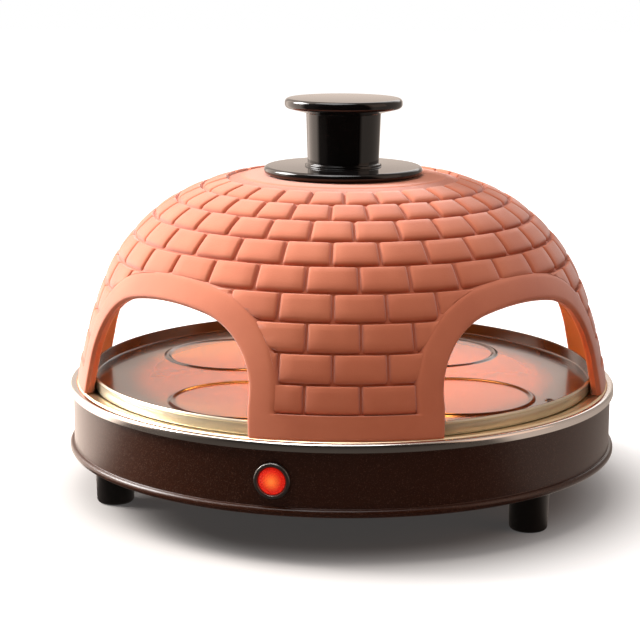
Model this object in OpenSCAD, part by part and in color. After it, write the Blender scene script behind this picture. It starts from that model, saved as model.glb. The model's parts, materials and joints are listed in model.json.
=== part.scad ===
// Table-top pizza maker: a clay dome with four arched mouths stands on a round electric base.
// The dome, the upper heating element and the baking plate lift off one after another.
// Frame: +Z up, floor at z = 0, dome axis on the Z axis, one dome leg on -Y.
// Bearings are degrees about +Z, counted from -Y towards +X.

/* [Base] */
// Outer radius of the lacquered wall
base_r = 178; // [160:1:200]
// Visible height of the lacquered wall, from its bead to the steel rim
wall_h = 39.5; // [30:0.5:60]
// Thickness of the wall, floor and tray sheet
sheet_t = 1.2; // [0.8:0.1:2]
// Radius of the rolled bead at the foot of the wall
bead_r = 2.4; // [1.5:0.1:3]
// Free height under the base
foot_h = 29.5; // [15:0.5:45]
// Radius of a foot where it meets the base
foot_r = 13; // [8:0.5:16]
// How far each foot's middle lies inside the wall
foot_inset = 23; // [23:1:50]
// Bearing of the middle of the gap between the two front feet
feet_bearing = -12; // [-30:1:30]

/* [Steel tray] */
// Height of the rolled rim above the top of the wall
rim_h = 5; // [4:0.5:8]
// Radius of the rolled rim's edge
roll_r = 2.1; // [1.8:0.1:3]
// Width of the flat ring that the dome stands on
seat_w = 9.4; // [9:0.1:12]
// Depth of the reflector bowl below the plate
bowl_depth = 28; // [20:1:34]
// How far the bowl's mouth lies inside the wall
bowl_inset = 30; // [28:1:45]

/* [Baking plate] */
// Height of the plate's upstanding edge above its floor
plate_edge_h = 8; // [4:0.5:14]
// Clearance between the plate's edge and the tray's step
plate_gap = 1.4; // [1:0.1:3]
// Number of round baking places
places = 4; // [3:1:5]
// Radius of one baking place, at the middle of its ridge
place_r = 48.5; // [35:0.5:50]
// Distance of the baking places from the axis
place_reach = 94; // [85:1:98]
// Bearing of the first baking place
place_bearing = 50; // [30:1:60]

/* [Heating] */
// Radius of the heater tubes
heater_r = 3.3; // [2.5:0.1:4]
// Radius of the lower heater's ring
lower_ring_r = 105; // [60:1:125]
// Radius of the upper heater's ring
upper_ring_r = 72; // [40:1:80]
// Height of the upper heater above the wall's top
upper_ring_h = 92; // [88:1:100]
// Radius of the reflector over the upper heater
reflector_r = 95; // [84:1:105]
// Radius of the column that carries the upper heater
column_r = 9; // [7:0.5:10]

/* [Dome] */
// Thickness of the clay
clay_t = 7; // [5:0.5:9]
// How far the dome's foot lies inside the wall
dome_inset = 2.7; // [2:0.1:4]
// Lean of the wall at its foot, from upright
foot_lean = 7.9; // [5:0.1:9]
// Lean where the leg curve meets the shoulder curve
leg_lean = 21; // [18:0.5:24]
// Lean where the shoulder curve meets the crown curve
shoulder_lean = 69; // [60:0.5:72]
// Radius of the leg curve
leg_curve = 291; // [260:1:320]
// Radius of the shoulder curve
shoulder_curve = 111; // [105:1:118]
// Radius of the crown curve
crown_curve = 214; // [180:1:240]
// Height of the dome's flat crown above the wall's top
crown_h = 139.6; // [130:0.1:142]
// Height of an arched mouth above the wall's top
arch_h = 75; // [60:0.5:80]
// Half width of an arched mouth at the springing of its corner curves
arch_half = 72; // [60:0.5:75]
// Extra half width of the mouth at the dome's foot
arch_flare = 2.5; // [0:0.5:4]
// Radius of the mouth's corner curves
arch_corner = 50; // [35:1:60]
// Radius of the mouth's flat crown curve
arch_crown = 158; // [120:1:400]
// Width of the plain band around each mouth
band_w = 16; // [8:0.5:18]

/* [Brick courses] */
// Height of one course along the dome's surface
course_h = 18.6; // [15:0.1:24]
// Height of the plain foot band along the surface
foot_band = 14.8; // [8:0.1:20]
// Number of courses
courses = 9; // [5:1:9]
// Width of the groove between two courses
joint_w = 2; // [1.2:0.1:3]
// Depth of the groove between two courses
joint_d = 1.5; // [0.8:0.1:2]
// How far the edges of the bricks lie under the plain bands
brick_sink = 0.6; // [0.4:0.1:1]
// How far the plain foot band lies under the bands around the mouths
foot_sink = 0.15; // [0.1:0.05:0.5]

/* [Knob] */
// Radius of the guard disc
guard_r = 52; // [40:1:56]
// Thickness of the guard disc
guard_t = 5.1; // [3:0.1:8]
// Radius of the neck at its top
neck_r = 24.4; // [18:0.1:28]
// Height of the neck above the guard disc
neck_h = 34.4; // [25:0.1:45]
// Radius of the cap
cap_r = 38.4; // [32:0.1:46]
// Height of the cap from the neck to its top
cap_h = 9.6; // [8:0.1:14]
// Thickness of the cap's rim
cap_rim = 5; // [3:0.1:7]

/* [Lamp and cord entry] */
// Radius of the lamp's bezel
bezel_r = 11; // [9:0.5:14]
// Radius of the lamp's lens
lens_r = 8.1; // [6:0.1:8.5]
// Bearing of the lamp
lamp_bearing = -14; // [-25:1:25]
// Radius of the hole for the cord
cord_hole_r = 3.7; // [3:0.1:4.5]

/* [Hidden] */

$fn = 96;
fit_gap = 0.3;      // between pieces on different bodies
slip = 0.1;         // between pieces that pass through each other's holes
turn = 360;

// Heights of the base
floor_z = foot_h + bead_r + sheet_t / 2;         // underside of the base floor
floor_top = floor_z + sheet_t;
lip_z = foot_h + wall_h;                         // lower edge of the steel rim
seat_z = lip_z + rim_h - 0.5;                    // flat ring that the dome stands on
wall_in = base_r - sheet_t;
flange_in = base_r - 9;                          // inner edge of the wall's bottom flange
rivet_reach = (flange_in + wall_in) / 2;

// Tray
roll_c = base_r;                                 // centre of the rolled rim
seat_out = roll_c - roll_r + sheet_t;
seat_in = seat_out - seat_w;                     // step down to the plate's ledge
ledge_z = seat_z - 1;
bowl_z = ledge_z - bowl_depth;                   // top of the bowl's floor
bowl_r = base_r - bowl_inset;
bowl_low_r = bowl_r - 8;
socket_hole = 18;

// Baking plate
plate_r = seat_in - plate_gap;
plate_z = ledge_z + fit_gap;                     // underside of the plate's floor
plate_top = plate_z + sheet_t;
ridge_r = 1.5;

// Centre column
socket_r = 16;
well_r = 11.2;
well_z = bowl_z;                                 // bottom of the socket's well
socket_top = plate_z - 2.3;
pin_r = 1.7;
pin_reach = 5;
plug_flange_top = plate_z - 0.3;
ring_z = lip_z + upper_ring_h;
hub_r = 14;
end_x = 6.5;                                     // half distance between the ring's ends
hub_z = ring_z - 8;
hub_top = ring_z + 9;
arm_t = 1.2;
leg_spread = 8;                                  // half angle between a heater's two ends
heater_bearing = 95;

// Tie posts between the tray and the base floor
post_count = 3;
post_reach = 70;
post_r = 5;
post_neck_r = 3.2;
shield_z = floor_top + 4.8;
screw_r = 2;

// Feet
foot_count = 3;
foot_reach = base_r - foot_inset;
gland_bearing = feet_bearing + 205;
lamp_z = foot_h + wall_h / 2 + 1.2;

// Dome
foot_z = seat_z + 2 * fit_gap;      // clear of the roll beside the flat ring
dome_r = base_r - dome_inset;
leg_c = [dome_r - leg_curve * cos(foot_lean), foot_z - leg_curve * sin(foot_lean)];
shoulder_c = leg_c + (leg_curve - shoulder_curve) * [cos(leg_lean), sin(leg_lean)];
crown_c = shoulder_c - (crown_curve - shoulder_curve) * [cos(shoulder_lean), sin(shoulder_lean)];
crown_z = lip_z + crown_h;
crown_t = clay_t + 1.5;
leg_arc = leg_curve * (leg_lean - foot_lean) * PI / 180;
shoulder_arc = shoulder_curve * (shoulder_lean - leg_lean) * PI / 180;
crown_x = arch_half - arch_corner;
arch_inner = arch_crown - arch_corner;
arch_centre_z = lip_z + arch_h - arch_crown;
spring_z = arch_centre_z + sqrt(arch_inner * arch_inner - crown_x * crown_x);
mouths = 4;

// Knob
gasket_t = 0.8;
guard_z = crown_z + gasket_t;
neck_z = guard_z + guard_t;
cap_z = neck_z + neck_h;
knob_well_r = 15.3;
knob_floor = neck_z + 4;
knob_bolt_r = 3;

function dir2(a) = [cos(a), sin(a)];

// Angle of the dome's surface normal above the horizontal, s along the surface from the foot
function lean_at(s) =
    s < leg_arc ? foot_lean + s / leg_curve * 180 / PI
    : s < leg_arc + shoulder_arc ? leg_lean + (s - leg_arc) / shoulder_curve * 180 / PI
    : shoulder_lean + (s - leg_arc - shoulder_arc) / crown_curve * 180 / PI;
// Point at a depth under the dome's outer surface, s along the surface from the foot
function skin_at(s, depth = 0) =
    let (out = dir2(lean_at(s)))
    s < leg_arc ? leg_c + (leg_curve - depth) * out
    : s < leg_arc + shoulder_arc ? shoulder_c + (shoulder_curve - depth) * out
    : crown_c + (crown_curve - depth) * out;
// Distance along the surface at which a skin at some depth reaches a height near the foot
function foot_s(depth) =
    (asin((foot_z - leg_c[1]) / (leg_curve - depth)) - foot_lean) * leg_curve * PI / 180;
// The same for a height near the crown
function crown_s(depth, z) =
    leg_arc + shoulder_arc
    + (asin((z - crown_c[1]) / (crown_curve - depth)) - shoulder_lean) * crown_curve * PI / 180;

module ring(r_in, r_out, h) {
    difference() {
        cylinder(h = h, r = r_out);
        translate([0, 0, -1]) cylinder(h = h + 2, r = r_in);
    }
}

// Puts a child that faces -Y at a bearing
module facing(bearing) {
    rotate([0, 0, bearing]) children();
}

// Several copies of a child around the axis
module around(count, first = 0) {
    for (i = [0 : count - 1]) facing(first + i * turn / count) children();
}

// A cylinder that lies along -Y, from reach a out to reach b
module bar_out(a, b, r, x = 0, z = 0) {
    translate([x, -a, z]) rotate([90, 0, 0]) cylinder(h = b - a, r = r);
}

// ---- Base ----

module wall_profile() {
    translate([wall_in, foot_h + bead_r]) square([sheet_t, lip_z + roll_r - foot_h - bead_r]);
    translate([flange_in, floor_z - sheet_t]) square([base_r - flange_in - sheet_t / 2, sheet_t]);
    translate([base_r + 0.4, foot_h + bead_r]) circle(r = bead_r);
}

module base_wall() {
    color([0.20, 0.12, 0.09]) difference() {
        rotate_extrude() wall_profile();
        facing(lamp_bearing) bar_out(base_r - 8, base_r + 8, lens_r + 0.5, z = lamp_z);
        facing(gland_bearing) bar_out(base_r - 8, base_r + 8, cord_hole_r + 2.4, z = lamp_z);
        around(2 * foot_count, feet_bearing)
            translate([0, -rivet_reach, floor_z - 4]) cylinder(h = 8, r = 1.6);
    }
}

module base_floor() {
    vents = 12;
    color([0.16, 0.10, 0.08]) difference() {
        translate([0, 0, floor_z]) cylinder(h = sheet_t, r = wall_in - 1);
        around(vents) translate([-2, -120, floor_z - 1]) cube([4, 26, sheet_t + 2]);
        around(2 * foot_count, feet_bearing)
            translate([0, -rivet_reach, floor_z - 1]) cylinder(h = 4, r = 1.6);
        around(foot_count, feet_bearing + 180)
            translate([0, -foot_reach, floor_z - 1]) cylinder(h = 4, r = screw_r + slip);
        around(post_count, feet_bearing)
            translate([0, -post_reach, floor_z - 1]) cylinder(h = 4, r = screw_r + slip);
    }
}

module floor_rivets() {
    color([0.55, 0.55, 0.57]) around(2 * foot_count, feet_bearing)
        translate([0, -rivet_reach, 0]) {
            translate([0, 0, floor_z - sheet_t - 0.8]) cylinder(h = 0.8, r = 2.8);
            translate([0, 0, floor_z - sheet_t]) cylinder(h = 2 * sheet_t, r = 1.5);
            translate([0, 0, floor_top]) cylinder(h = 0.8, r = 2.8);
        }
}

// Section of the tray: skirt and rolled rim, flat ring, plate ledge, bowl
module tray_profile() {
    roll_z = seat_z + 0.5 - roll_r;
    translate([roll_c, roll_z]) difference() {
        circle(r = roll_r);
        circle(r = roll_r - sheet_t);
        translate([-roll_r - 1, -roll_r - 1]) square([2 * roll_r + 2, roll_r + 1]);
    }
    translate([roll_c + roll_r - sheet_t, lip_z]) square([sheet_t, roll_z - lip_z + 0.4]);
    polygon([[seat_out, seat_z], [seat_in, seat_z], [seat_in, ledge_z], [bowl_r, ledge_z],
             [bowl_low_r, bowl_z], [socket_hole, bowl_z], [socket_hole, bowl_z - sheet_t],
             [bowl_low_r + sheet_t, bowl_z - sheet_t], [bowl_r + sheet_t, ledge_z - sheet_t],
             [seat_in + sheet_t, ledge_z - sheet_t], [seat_in + sheet_t, seat_z - sheet_t],
             [seat_out, seat_z - sheet_t]]);
}

module steel_tray() {
    color([0.80, 0.80, 0.82]) difference() {
        rotate_extrude() tray_profile();
        for (side = [-1, 1]) facing(heater_bearing + side * leg_spread)
            translate([0, -lower_ring_r, bowl_z - 4]) cylinder(h = 8, r = cold_r + 1.5);
        around(post_count, feet_bearing)
            translate([0, -post_reach, bowl_z - 4]) cylinder(h = 8, r = screw_r + slip);
    }
}

module tie_posts() {
    color([0.62, 0.62, 0.64]) around(post_count, feet_bearing) translate([0, -post_reach, 0])
        difference() {
            union() {
                translate([0, 0, floor_top]) cylinder(h = shield_z - floor_top, r = post_r);
                translate([0, 0, floor_top])
                    cylinder(h = bowl_z - sheet_t - floor_top, r = post_neck_r);
            }
            translate([0, 0, floor_top - 1])
                cylinder(h = bowl_z - floor_top + 2, r = screw_r + slip);
        }
}

module post_screws() {
    color([0.5, 0.5, 0.52]) around(post_count, feet_bearing) translate([0, -post_reach, 0]) {
        translate([0, 0, floor_z - 2]) cylinder(h = 2, r = 4);
        translate([0, 0, floor_z - 2]) cylinder(h = bowl_z + 2 - floor_z, r = screw_r);
        translate([0, 0, bowl_z]) cylinder(h = 2.4, r = 3.6, $fn = 6);
    }
}

module foot() {
    edge = 2.5;
    tip_r = foot_r - 1;
    color([0.07, 0.06, 0.06]) difference() {
        translate([0, -foot_reach, 0]) union() {
            rotate_extrude() {
                polygon([[0, 0], [tip_r - edge, 0], [tip_r, edge], [foot_r, foot_h],
                         [foot_r, floor_z], [0, floor_z]]);
                intersection() {
                    translate([tip_r - edge, edge]) circle(r = edge);
                    square([foot_r, foot_h]);
                }
            }
        }
        translate([0, -foot_reach, foot_h / 2])
            cylinder(h = floor_z, r = screw_r + slip);
    }
}

module foot_left() {
    facing(feet_bearing - 60) foot();
}

module foot_right() {
    facing(feet_bearing + 60) foot();
}

module foot_rear() {
    facing(feet_bearing + 180) foot();
}

module foot_screws() {
    color([0.5, 0.5, 0.52]) around(foot_count, feet_bearing + 180)
        translate([0, -foot_reach, 0]) {
            translate([0, 0, foot_h / 2 + 1]) cylinder(h = floor_top - foot_h / 2 - 1, r = screw_r);
            translate([0, 0, floor_top]) cylinder(h = 2, r = 4);
        }
}

// ---- Lamp ----

bezel_out = base_r + 2.6;
lamp_tube = lens_r + 0.3;
lamp_bore = lens_r - 1.5;

module lamp_bezel() {
    color([0.45, 0.44, 0.43]) facing(lamp_bearing) difference() {
        union() {
            bar_out(base_r, bezel_out, bezel_r, z = lamp_z);
            bar_out(base_r - 18, base_r + 1, lamp_tube, z = lamp_z);
        }
        bar_out(base_r - 19, bezel_out + 1, lamp_bore, z = lamp_z);
        bar_out(base_r - 1, bezel_out + 1, lens_r + slip, z = lamp_z);
    }
}

module lamp_lens() {
    swell = 1.2;
    ball = (lens_r * lens_r + swell * swell) / (2 * swell);
    color([0.85, 0.08, 0.05]) facing(lamp_bearing) intersection() {
        union() {
            bar_out(base_r - 1, bezel_out + swell, lens_r, z = lamp_z);
            bar_out(base_r - 6, base_r, lamp_bore - slip, z = lamp_z);
        }
        translate([0, -(bezel_out - 1 + swell - ball), lamp_z]) sphere(r = ball);
    }
}

module lamp_bulb() {
    color([0.95, 0.55, 0.2]) facing(lamp_bearing) {
        bar_out(base_r - 15, base_r - 10, 3, z = lamp_z);
        translate([0, -(base_r - 10), lamp_z]) sphere(r = 3);
    }
}

module lamp_holder() {
    color([0.85, 0.83, 0.78]) facing(lamp_bearing)
        bar_out(base_r - 18, base_r - 15, lamp_bore - slip, z = lamp_z);
}

module lamp_clip() {
    color([0.1, 0.1, 0.1]) facing(lamp_bearing) difference() {
        bar_out(wall_in - 2.6, wall_in - 0.4, bezel_r - 0.5, z = lamp_z);
        bar_out(wall_in - 4, wall_in + 1, lamp_tube + slip, z = lamp_z);
    }
}

// ---- Cord entry and wiring ----

gland_out = base_r + 2.6;
clamp_reach = base_r - 24;
block_bearing = gland_bearing + 20;
block_reach = base_r - 24;
block_pitch = 10;
block_deep = 14;
block_w = 2 * block_pitch + block_deep;
wire_r = 1.2;
wire_z = floor_top + wire_r;

module cord_gland() {
    color([0.08, 0.08, 0.08]) facing(gland_bearing) difference() {
        union() {
            bar_out(base_r, gland_out, cord_hole_r + 4.5, z = lamp_z);
            bar_out(base_r - 8, base_r + 1, cord_hole_r + 2.2, z = lamp_z);
        }
        bar_out(base_r - 9, gland_out + 1, cord_hole_r, z = lamp_z);
    }
}

module gland_nut() {
    color([0.08, 0.08, 0.08]) facing(gland_bearing) difference() {
        bar_out(wall_in - 4, wall_in - 0.4, cord_hole_r + 4.5, z = lamp_z);
        bar_out(wall_in - 5, wall_in, cord_hole_r + 2.3, z = lamp_z);
    }
}

module cord_clamp() {
    high = lamp_z + 7 - floor_top;
    color([0.75, 0.73, 0.68]) facing(gland_bearing) difference() {
        translate([-9, -clamp_reach - 5, floor_top]) cube([18, 10, high]);
        bar_out(clamp_reach - 6, clamp_reach + 6, cord_hole_r + 0.4, z = lamp_z);
    }
}

module earth_screw() {
    color([0.80, 0.62, 0.25]) facing(gland_bearing - 11) translate([0, -clamp_reach, floor_top]) {
        cylinder(h = 1, r = 5);
        cylinder(h = 3.5, r = 3.4, $fn = 6);
    }
}

module terminal_block() {
    size = [block_w, block_deep, block_deep];
    color([0.90, 0.88, 0.82]) facing(block_bearing) difference() {
        translate([-size[0] / 2, -block_reach - size[1] / 2, floor_top]) cube(size);
        for (i = [-1, 0, 1]) translate([i * block_pitch, -block_reach, floor_top + 5])
            cylinder(h = block_deep, r = 2.5);
    }
}

// Two leads run inside the wall from the terminal block to the lamp
module lamp_leads() {
    color([0.75, 0.2, 0.15]) for (i = [0, 1]) {
        reach = base_r - 10.5 - 3.4 * i;
        facing(block_bearing) rotate([0, 0, -90])
            rotate_extrude(angle = lamp_bearing + turn - block_bearing + 1)
                translate([reach, wire_z]) circle(r = wire_r);
        facing(lamp_bearing) translate([0, -reach, wire_z])
            cylinder(h = lamp_z - lamp_tube - slip - wire_z, r = wire_r - 0.2);
    }
}

// Leads on the base floor from the terminal block to the socket
module heater_leads() {
    color([0.85, 0.85, 0.8]) facing(block_bearing) for (i = [-1, 1])
        bar_out(socket_r + slip, block_reach - 7, wire_r, x = i * 5, z = wire_z, $fn = 24);
}

// ---- Heating in the base ----

module heat_shield() {
    color([0.70, 0.71, 0.73]) difference() {
        translate([0, 0, shield_z]) cylinder(h = 0.8, r = bowl_low_r - 12);
        translate([0, 0, shield_z - 1]) cylinder(h = 3, r = socket_r + 0.5);
        around(post_count, feet_bearing)
            translate([0, -post_reach, shield_z - 1]) cylinder(h = 3, r = post_neck_r + slip);
        for (side = [-1, 1]) facing(heater_bearing + side * leg_spread)
            translate([0, -lower_ring_r, shield_z - 1]) cylinder(h = 3, r = cold_r + 2.5);
    }
}

module thermal_cutout() {
    color([0.6, 0.58, 0.5]) facing(feet_bearing + 30) translate([0, -45, 0]) {
        translate([0, 0, shield_z + 0.8]) cylinder(h = bowl_z - sheet_t - shield_z - 0.8, r = 8);
    }
}

// A heater ring at the origin that is open between its two cold ends
module heater_ring(reach, gap) {
    rotate([0, 0, gap - 90]) rotate_extrude(angle = turn - 2 * gap)
        translate([reach, 0]) circle(r = heater_r);
}

lower_ring_z = bowl_z + 12;
cold_r = heater_r - 0.4;         // cold ends are thinner, so that they end inside the ring

module lower_heater() {
    gap = leg_spread - asin(1.3 * heater_r / lower_ring_r);
    color([0.30, 0.30, 0.31]) facing(heater_bearing) {
        translate([0, 0, lower_ring_z]) heater_ring(lower_ring_r, gap);
        for (side = [-1, 1]) facing(side * leg_spread)
            translate([0, -lower_ring_r, floor_top + 1.5])
                cylinder(h = lower_ring_z - floor_top - 1.5, r = cold_r);
    }
}

module heater_bushes() {
    color([0.90, 0.88, 0.82]) for (side = [-1, 1]) facing(heater_bearing + side * leg_spread)
        translate([0, -lower_ring_r, bowl_z - sheet_t - 2]) difference() {
            union() {
                cylinder(h = 2, r = cold_r + 4);
                cylinder(h = 4 + sheet_t, r = cold_r + 1.4);
            }
            translate([0, 0, -1]) cylinder(h = 8 + sheet_t, r = cold_r + slip);
        }
}

module heater_clips() {
    wide = 2 * heater_r + 5;
    color([0.65, 0.65, 0.66]) around(3, heater_bearing + 60) difference() {
        translate([-4, -lower_ring_r - wide / 2, bowl_z])
            cube([8, wide, lower_ring_z + heater_r + 1.5 - bowl_z]);
        translate([0, 0, lower_ring_z]) rotate_extrude()
            translate([lower_ring_r, 0]) circle(r = heater_r + slip);
    }
}

module socket_body() {
    color([0.92, 0.90, 0.85]) difference() {
        translate([0, 0, floor_top]) cylinder(h = socket_top - floor_top, r = socket_r);
        translate([0, 0, well_z]) cylinder(h = socket_top, r = well_r);
        for (side = [-1, 1]) translate([side * pin_reach, 0, floor_top + 2])
            cylinder(h = well_z, r = pin_r + 1);
    }
}

module socket_sleeves() {
    color([0.80, 0.62, 0.25]) for (side = [-1, 1]) translate([side * pin_reach, 0, floor_top + 2])
        difference() {
            cylinder(h = well_z - floor_top - 2.2, r = pin_r + 0.95);
            translate([0, 0, 1]) cylinder(h = well_z, r = pin_r + 0.15);
        }
}

// ---- Baking plate ----

module baking_plate() {
    edge_t = 1.2;
    roll = 1;
    hub_hole = socket_r + 1;
    hang_reach = plate_r - 18.3;
    color([0.10, 0.08, 0.07]) difference() {
        union() {
            rotate_extrude() {
                translate([hub_hole, plate_z]) square([plate_r - roll - hub_hole, sheet_t]);
                translate([plate_r - roll - edge_t / 2, plate_z])
                    square([edge_t, plate_edge_h + sheet_t - roll]);
                translate([plate_r - roll, plate_top + plate_edge_h - roll]) circle(r = roll);
            }
            around(places, place_bearing) translate([0, -place_reach, plate_top - 0.4])
                rotate_extrude() translate([place_r, 0]) circle(r = ridge_r, $fn = 32);
        }
        translate([0, 0, plate_z - 4]) cylinder(h = 4, r = plate_r);
        facing(place_bearing + 12) translate([0, -hang_reach, plate_z - 1]) cylinder(h = 4, r = 2.2);
    }
}

// ---- Upper heater on its column ----

module plug_body() {
    color([0.92, 0.90, 0.85]) difference() {
        union() {
            translate([0, 0, well_z + fit_gap])
                cylinder(h = plug_flange_top - well_z - fit_gap, r = well_r - fit_gap);
            translate([0, 0, socket_top + fit_gap])
                cylinder(h = plug_flange_top - socket_top - fit_gap, r = socket_r - 1);
        }
        for (side = [-1, 1]) translate([side * pin_reach, 0, well_z])
            cylinder(h = 8, r = pin_r + slip);
    }
}

module plug_pins() {
    color([0.80, 0.62, 0.25]) for (side = [-1, 1]) translate([side * pin_reach, 0, floor_top + 4])
        cylinder(h = well_z + 8 - floor_top - 4, r = pin_r);
}

module column_tube() {
    color([0.72, 0.72, 0.74]) translate([0, 0, plug_flange_top])
        ring(column_r - 1, column_r, hub_z - plug_flange_top);
}

module column_collar() {
    color([0.72, 0.72, 0.74]) translate([0, 0, plate_top + fit_gap])
        ring(column_r + slip, socket_r + 9, 1.5);
}

module heater_hub() {
    color([0.92, 0.90, 0.85]) difference() {
        translate([0, 0, hub_z]) cylinder(h = hub_top - hub_z, r = hub_r);
        translate([0, 0, hub_top - 8]) cylinder(h = 9, r = knob_bolt_r + slip);
        facing(heater_bearing) for (side = [-1, 1])
            bar_out(hub_r - 6, hub_r + 1, cold_r + slip, x = side * end_x, z = ring_z);
    }
}

// The upper ring's ends run in to the hub side by side
module upper_heater() {
    reach = sqrt(upper_ring_r * upper_ring_r - end_x * end_x);
    color([0.30, 0.30, 0.31]) facing(heater_bearing) translate([0, 0, ring_z]) {
        heater_ring(upper_ring_r, asin((end_x - 1.3 * heater_r) / upper_ring_r));
        for (side = [-1, 1]) bar_out(hub_r - 6, reach, cold_r, x = side * end_x);
    }
}

module heater_arms() {
    color([0.65, 0.65, 0.66]) around(3, heater_bearing + 60) {
        translate([-4, -upper_ring_r - 6, ring_z + heater_r + slip])
            cube([8, upper_ring_r + 6 - hub_r - slip, arm_t]);
        translate([-4, -upper_ring_r - 6, ring_z - heater_r])
            cube([8, arm_t, 2 * heater_r + slip + arm_t]);
    }
}

module reflector() {
    color([0.80, 0.80, 0.82]) translate([0, 0, hub_top]) ring(knob_bolt_r + slip, reflector_r, 1);
}

module reflector_nut() {
    color([0.55, 0.55, 0.57]) {
        translate([0, 0, hub_top - 7]) cylinder(h = 9, r = knob_bolt_r);
        translate([0, 0, hub_top + 1]) cylinder(h = 4, r = 6, $fn = 6);
    }
}

// ---- Dome ----

// Half section filled in to the axis, bounded by a plain skin at a depth
module plain_section(depth, top_z, below = 0) {
    first = foot_s(depth);
    last = crown_s(depth, top_z);
    steps = 16;
    skin = [for (k = [0 : steps]) skin_at(first + (last - first) * k / steps, depth)];
    polygon(concat([[0, foot_z - below], [skin[0][0], foot_z - below]],
                   below > 0 ? skin : [for (k = [1 : steps]) skin[k]], [[0, top_z]]));
}

// Half section of the brick courses, filled in to the axis
module brick_section() {
    last = crown_s(brick_sink, crown_z);
    lines = [for (i = [0 : courses - 1]) foot_band + i * course_h];
    rows = [for (i = [0 : courses - 1])
        let (low = lines[i], high = i < courses - 1 ? lines[i + 1] - joint_w / 2 : last)
        each [skin_at(low - joint_w / 2, brick_sink), skin_at(low, brick_sink + joint_d),
              skin_at(low + joint_w / 2, brick_sink), skin_at((low + high) / 2, brick_sink / 2)]];
    foot = [skin_at(foot_s(foot_sink), foot_sink), skin_at(foot_band / 2, foot_sink),
            skin_at(foot_band - joint_w / 2, foot_sink)];
    polygon(concat([[0, foot_z]], foot, [for (k = [1 : len(rows) - 1]) rows[k]],
                   [skin_at(last, brick_sink), [0, crown_z]]));
}

// Outline of an arched mouth, made larger all round by grow; x across the mouth, y up
module mouth_outline(grow) {
    half = arch_half + grow;
    corner = arch_corner + grow;
    meet_x = 0.85 * crown_x * (arch_crown + grow) / arch_inner;   // just short of the corner curves
    low = foot_z - 5;
    intersection() {
        union() {
            for (side = [-1, 1]) translate([side * crown_x, spring_z]) circle(r = corner, $fn = 180);
            intersection() {
                translate([0, arch_centre_z]) circle(r = arch_crown + grow, $fn = 720);
                translate([-meet_x, low]) square([2 * meet_x, 2 * arch_h]);
            }
            polygon([[-half - arch_flare, low], [half + arch_flare, low], [half, spring_z],
                     [-half, spring_z]]);
        }
        translate([-2 * half, low]) square([4 * half, 4 * half]);
    }
}

module mouth_prisms(grow) {
    around(mouths, turn / mouths / 2) translate([0, -60, 0]) rotate([90, 0, 0])
        linear_extrude(height = dome_r) mouth_outline(grow);
}

module clay_dome() {
    color([0.76, 0.47, 0.37]) difference() {
        union() {
            rotate_extrude() brick_section();
            intersection() {
                rotate_extrude() plain_section(0, crown_z - 1);
                mouth_prisms(band_w);
            }
        }
        rotate_extrude() plain_section(clay_t, crown_z - crown_t, 2);
        mouth_prisms(0);
        translate([0, 0, crown_z - 2 * crown_t]) cylinder(h = 3 * crown_t, r = knob_bolt_r + 1.5);
    }
}

// ---- Knob ----

module knob_gasket() {
    color([0.25, 0.22, 0.2]) translate([0, 0, crown_z]) ring(knob_bolt_r + 2, guard_r - 5, gasket_t);
}

module knob_body() {
    edge = guard_t / 2;
    fillet = 6;
    waist = neck_r - 1.2;
    color([0.03, 0.03, 0.03]) difference() {
        rotate_extrude() {
            translate([0, guard_z]) square([guard_r - edge, guard_t]);
            translate([guard_r - edge, guard_z + edge]) circle(r = edge, $fn = 48);
            polygon([[0, neck_z - 1], [waist, neck_z - 1], [waist, neck_z + fillet],
                     [neck_r, cap_z], [0, cap_z]]);
            difference() {
                translate([waist - 1, neck_z - 0.5]) square([fillet + 1, fillet + 0.5]);
                translate([waist + fillet, neck_z + fillet]) circle(r = fillet, $fn = 64);
            }
        }
        translate([0, 0, knob_floor]) cylinder(h = cap_z, r = knob_well_r);
        translate([0, 0, guard_z - 1]) cylinder(h = cap_z - guard_z, r = knob_bolt_r + 0.3);
    }
}

module knob_cap() {
    edge = 1.6;
    top = cap_z + cap_h;
    color([0.03, 0.03, 0.03]) rotate_extrude() {
        translate([0, cap_z - 5]) square([knob_well_r - 0.1, 6]);
        polygon([[0, cap_z], [neck_r + 1, cap_z], [cap_r - edge, top - cap_rim],
                 [cap_r, top - cap_rim + edge], [cap_r, top - edge], [cap_r - edge, top], [0, top]]);
        for (z = [top - edge, top - cap_rim + edge])
            translate([cap_r - edge, z]) circle(r = edge, $fn = 32);
    }
}

inner_crown = crown_z - crown_t;

module knob_screw() {
    color([0.55, 0.55, 0.57]) {
        translate([0, 0, inner_crown - 10])
            cylinder(h = knob_floor - inner_crown + 10, r = knob_bolt_r);
        translate([0, 0, knob_floor]) cylinder(h = 4, r = 5.5);
    }
}

module knob_washer() {
    color([0.6, 0.6, 0.62]) translate([0, 0, inner_crown - 1.6]) ring(knob_bolt_r + slip, 14, 1.6);
}

module knob_nut() {
    color([0.55, 0.55, 0.57]) translate([0, 0, inner_crown - 6.6]) difference() {
        cylinder(h = 5, r = 5.8, $fn = 6);
        translate([0, 0, -1]) cylinder(h = 7, r = knob_bolt_r + slip);
    }
}

base_wall();
base_floor();
floor_rivets();
steel_tray();
tie_posts();
post_screws();
foot_left();
foot_right();
foot_rear();
foot_screws();
lamp_bezel();
lamp_lens();
lamp_bulb();
lamp_holder();
lamp_clip();
lamp_leads();
cord_gland();
gland_nut();
cord_clamp();
earth_screw();
terminal_block();
heater_leads();
heat_shield();
thermal_cutout();
lower_heater();
heater_clips();
heater_bushes();
socket_body();
socket_sleeves();
baking_plate();
plug_body();
plug_pins();
column_tube();
column_collar();
heater_hub();
upper_heater();
heater_arms();
reflector();
reflector_nut();
clay_dome();
knob_gasket();
knob_body();
knob_cap();
knob_screw();
knob_washer();
knob_nut();
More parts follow.
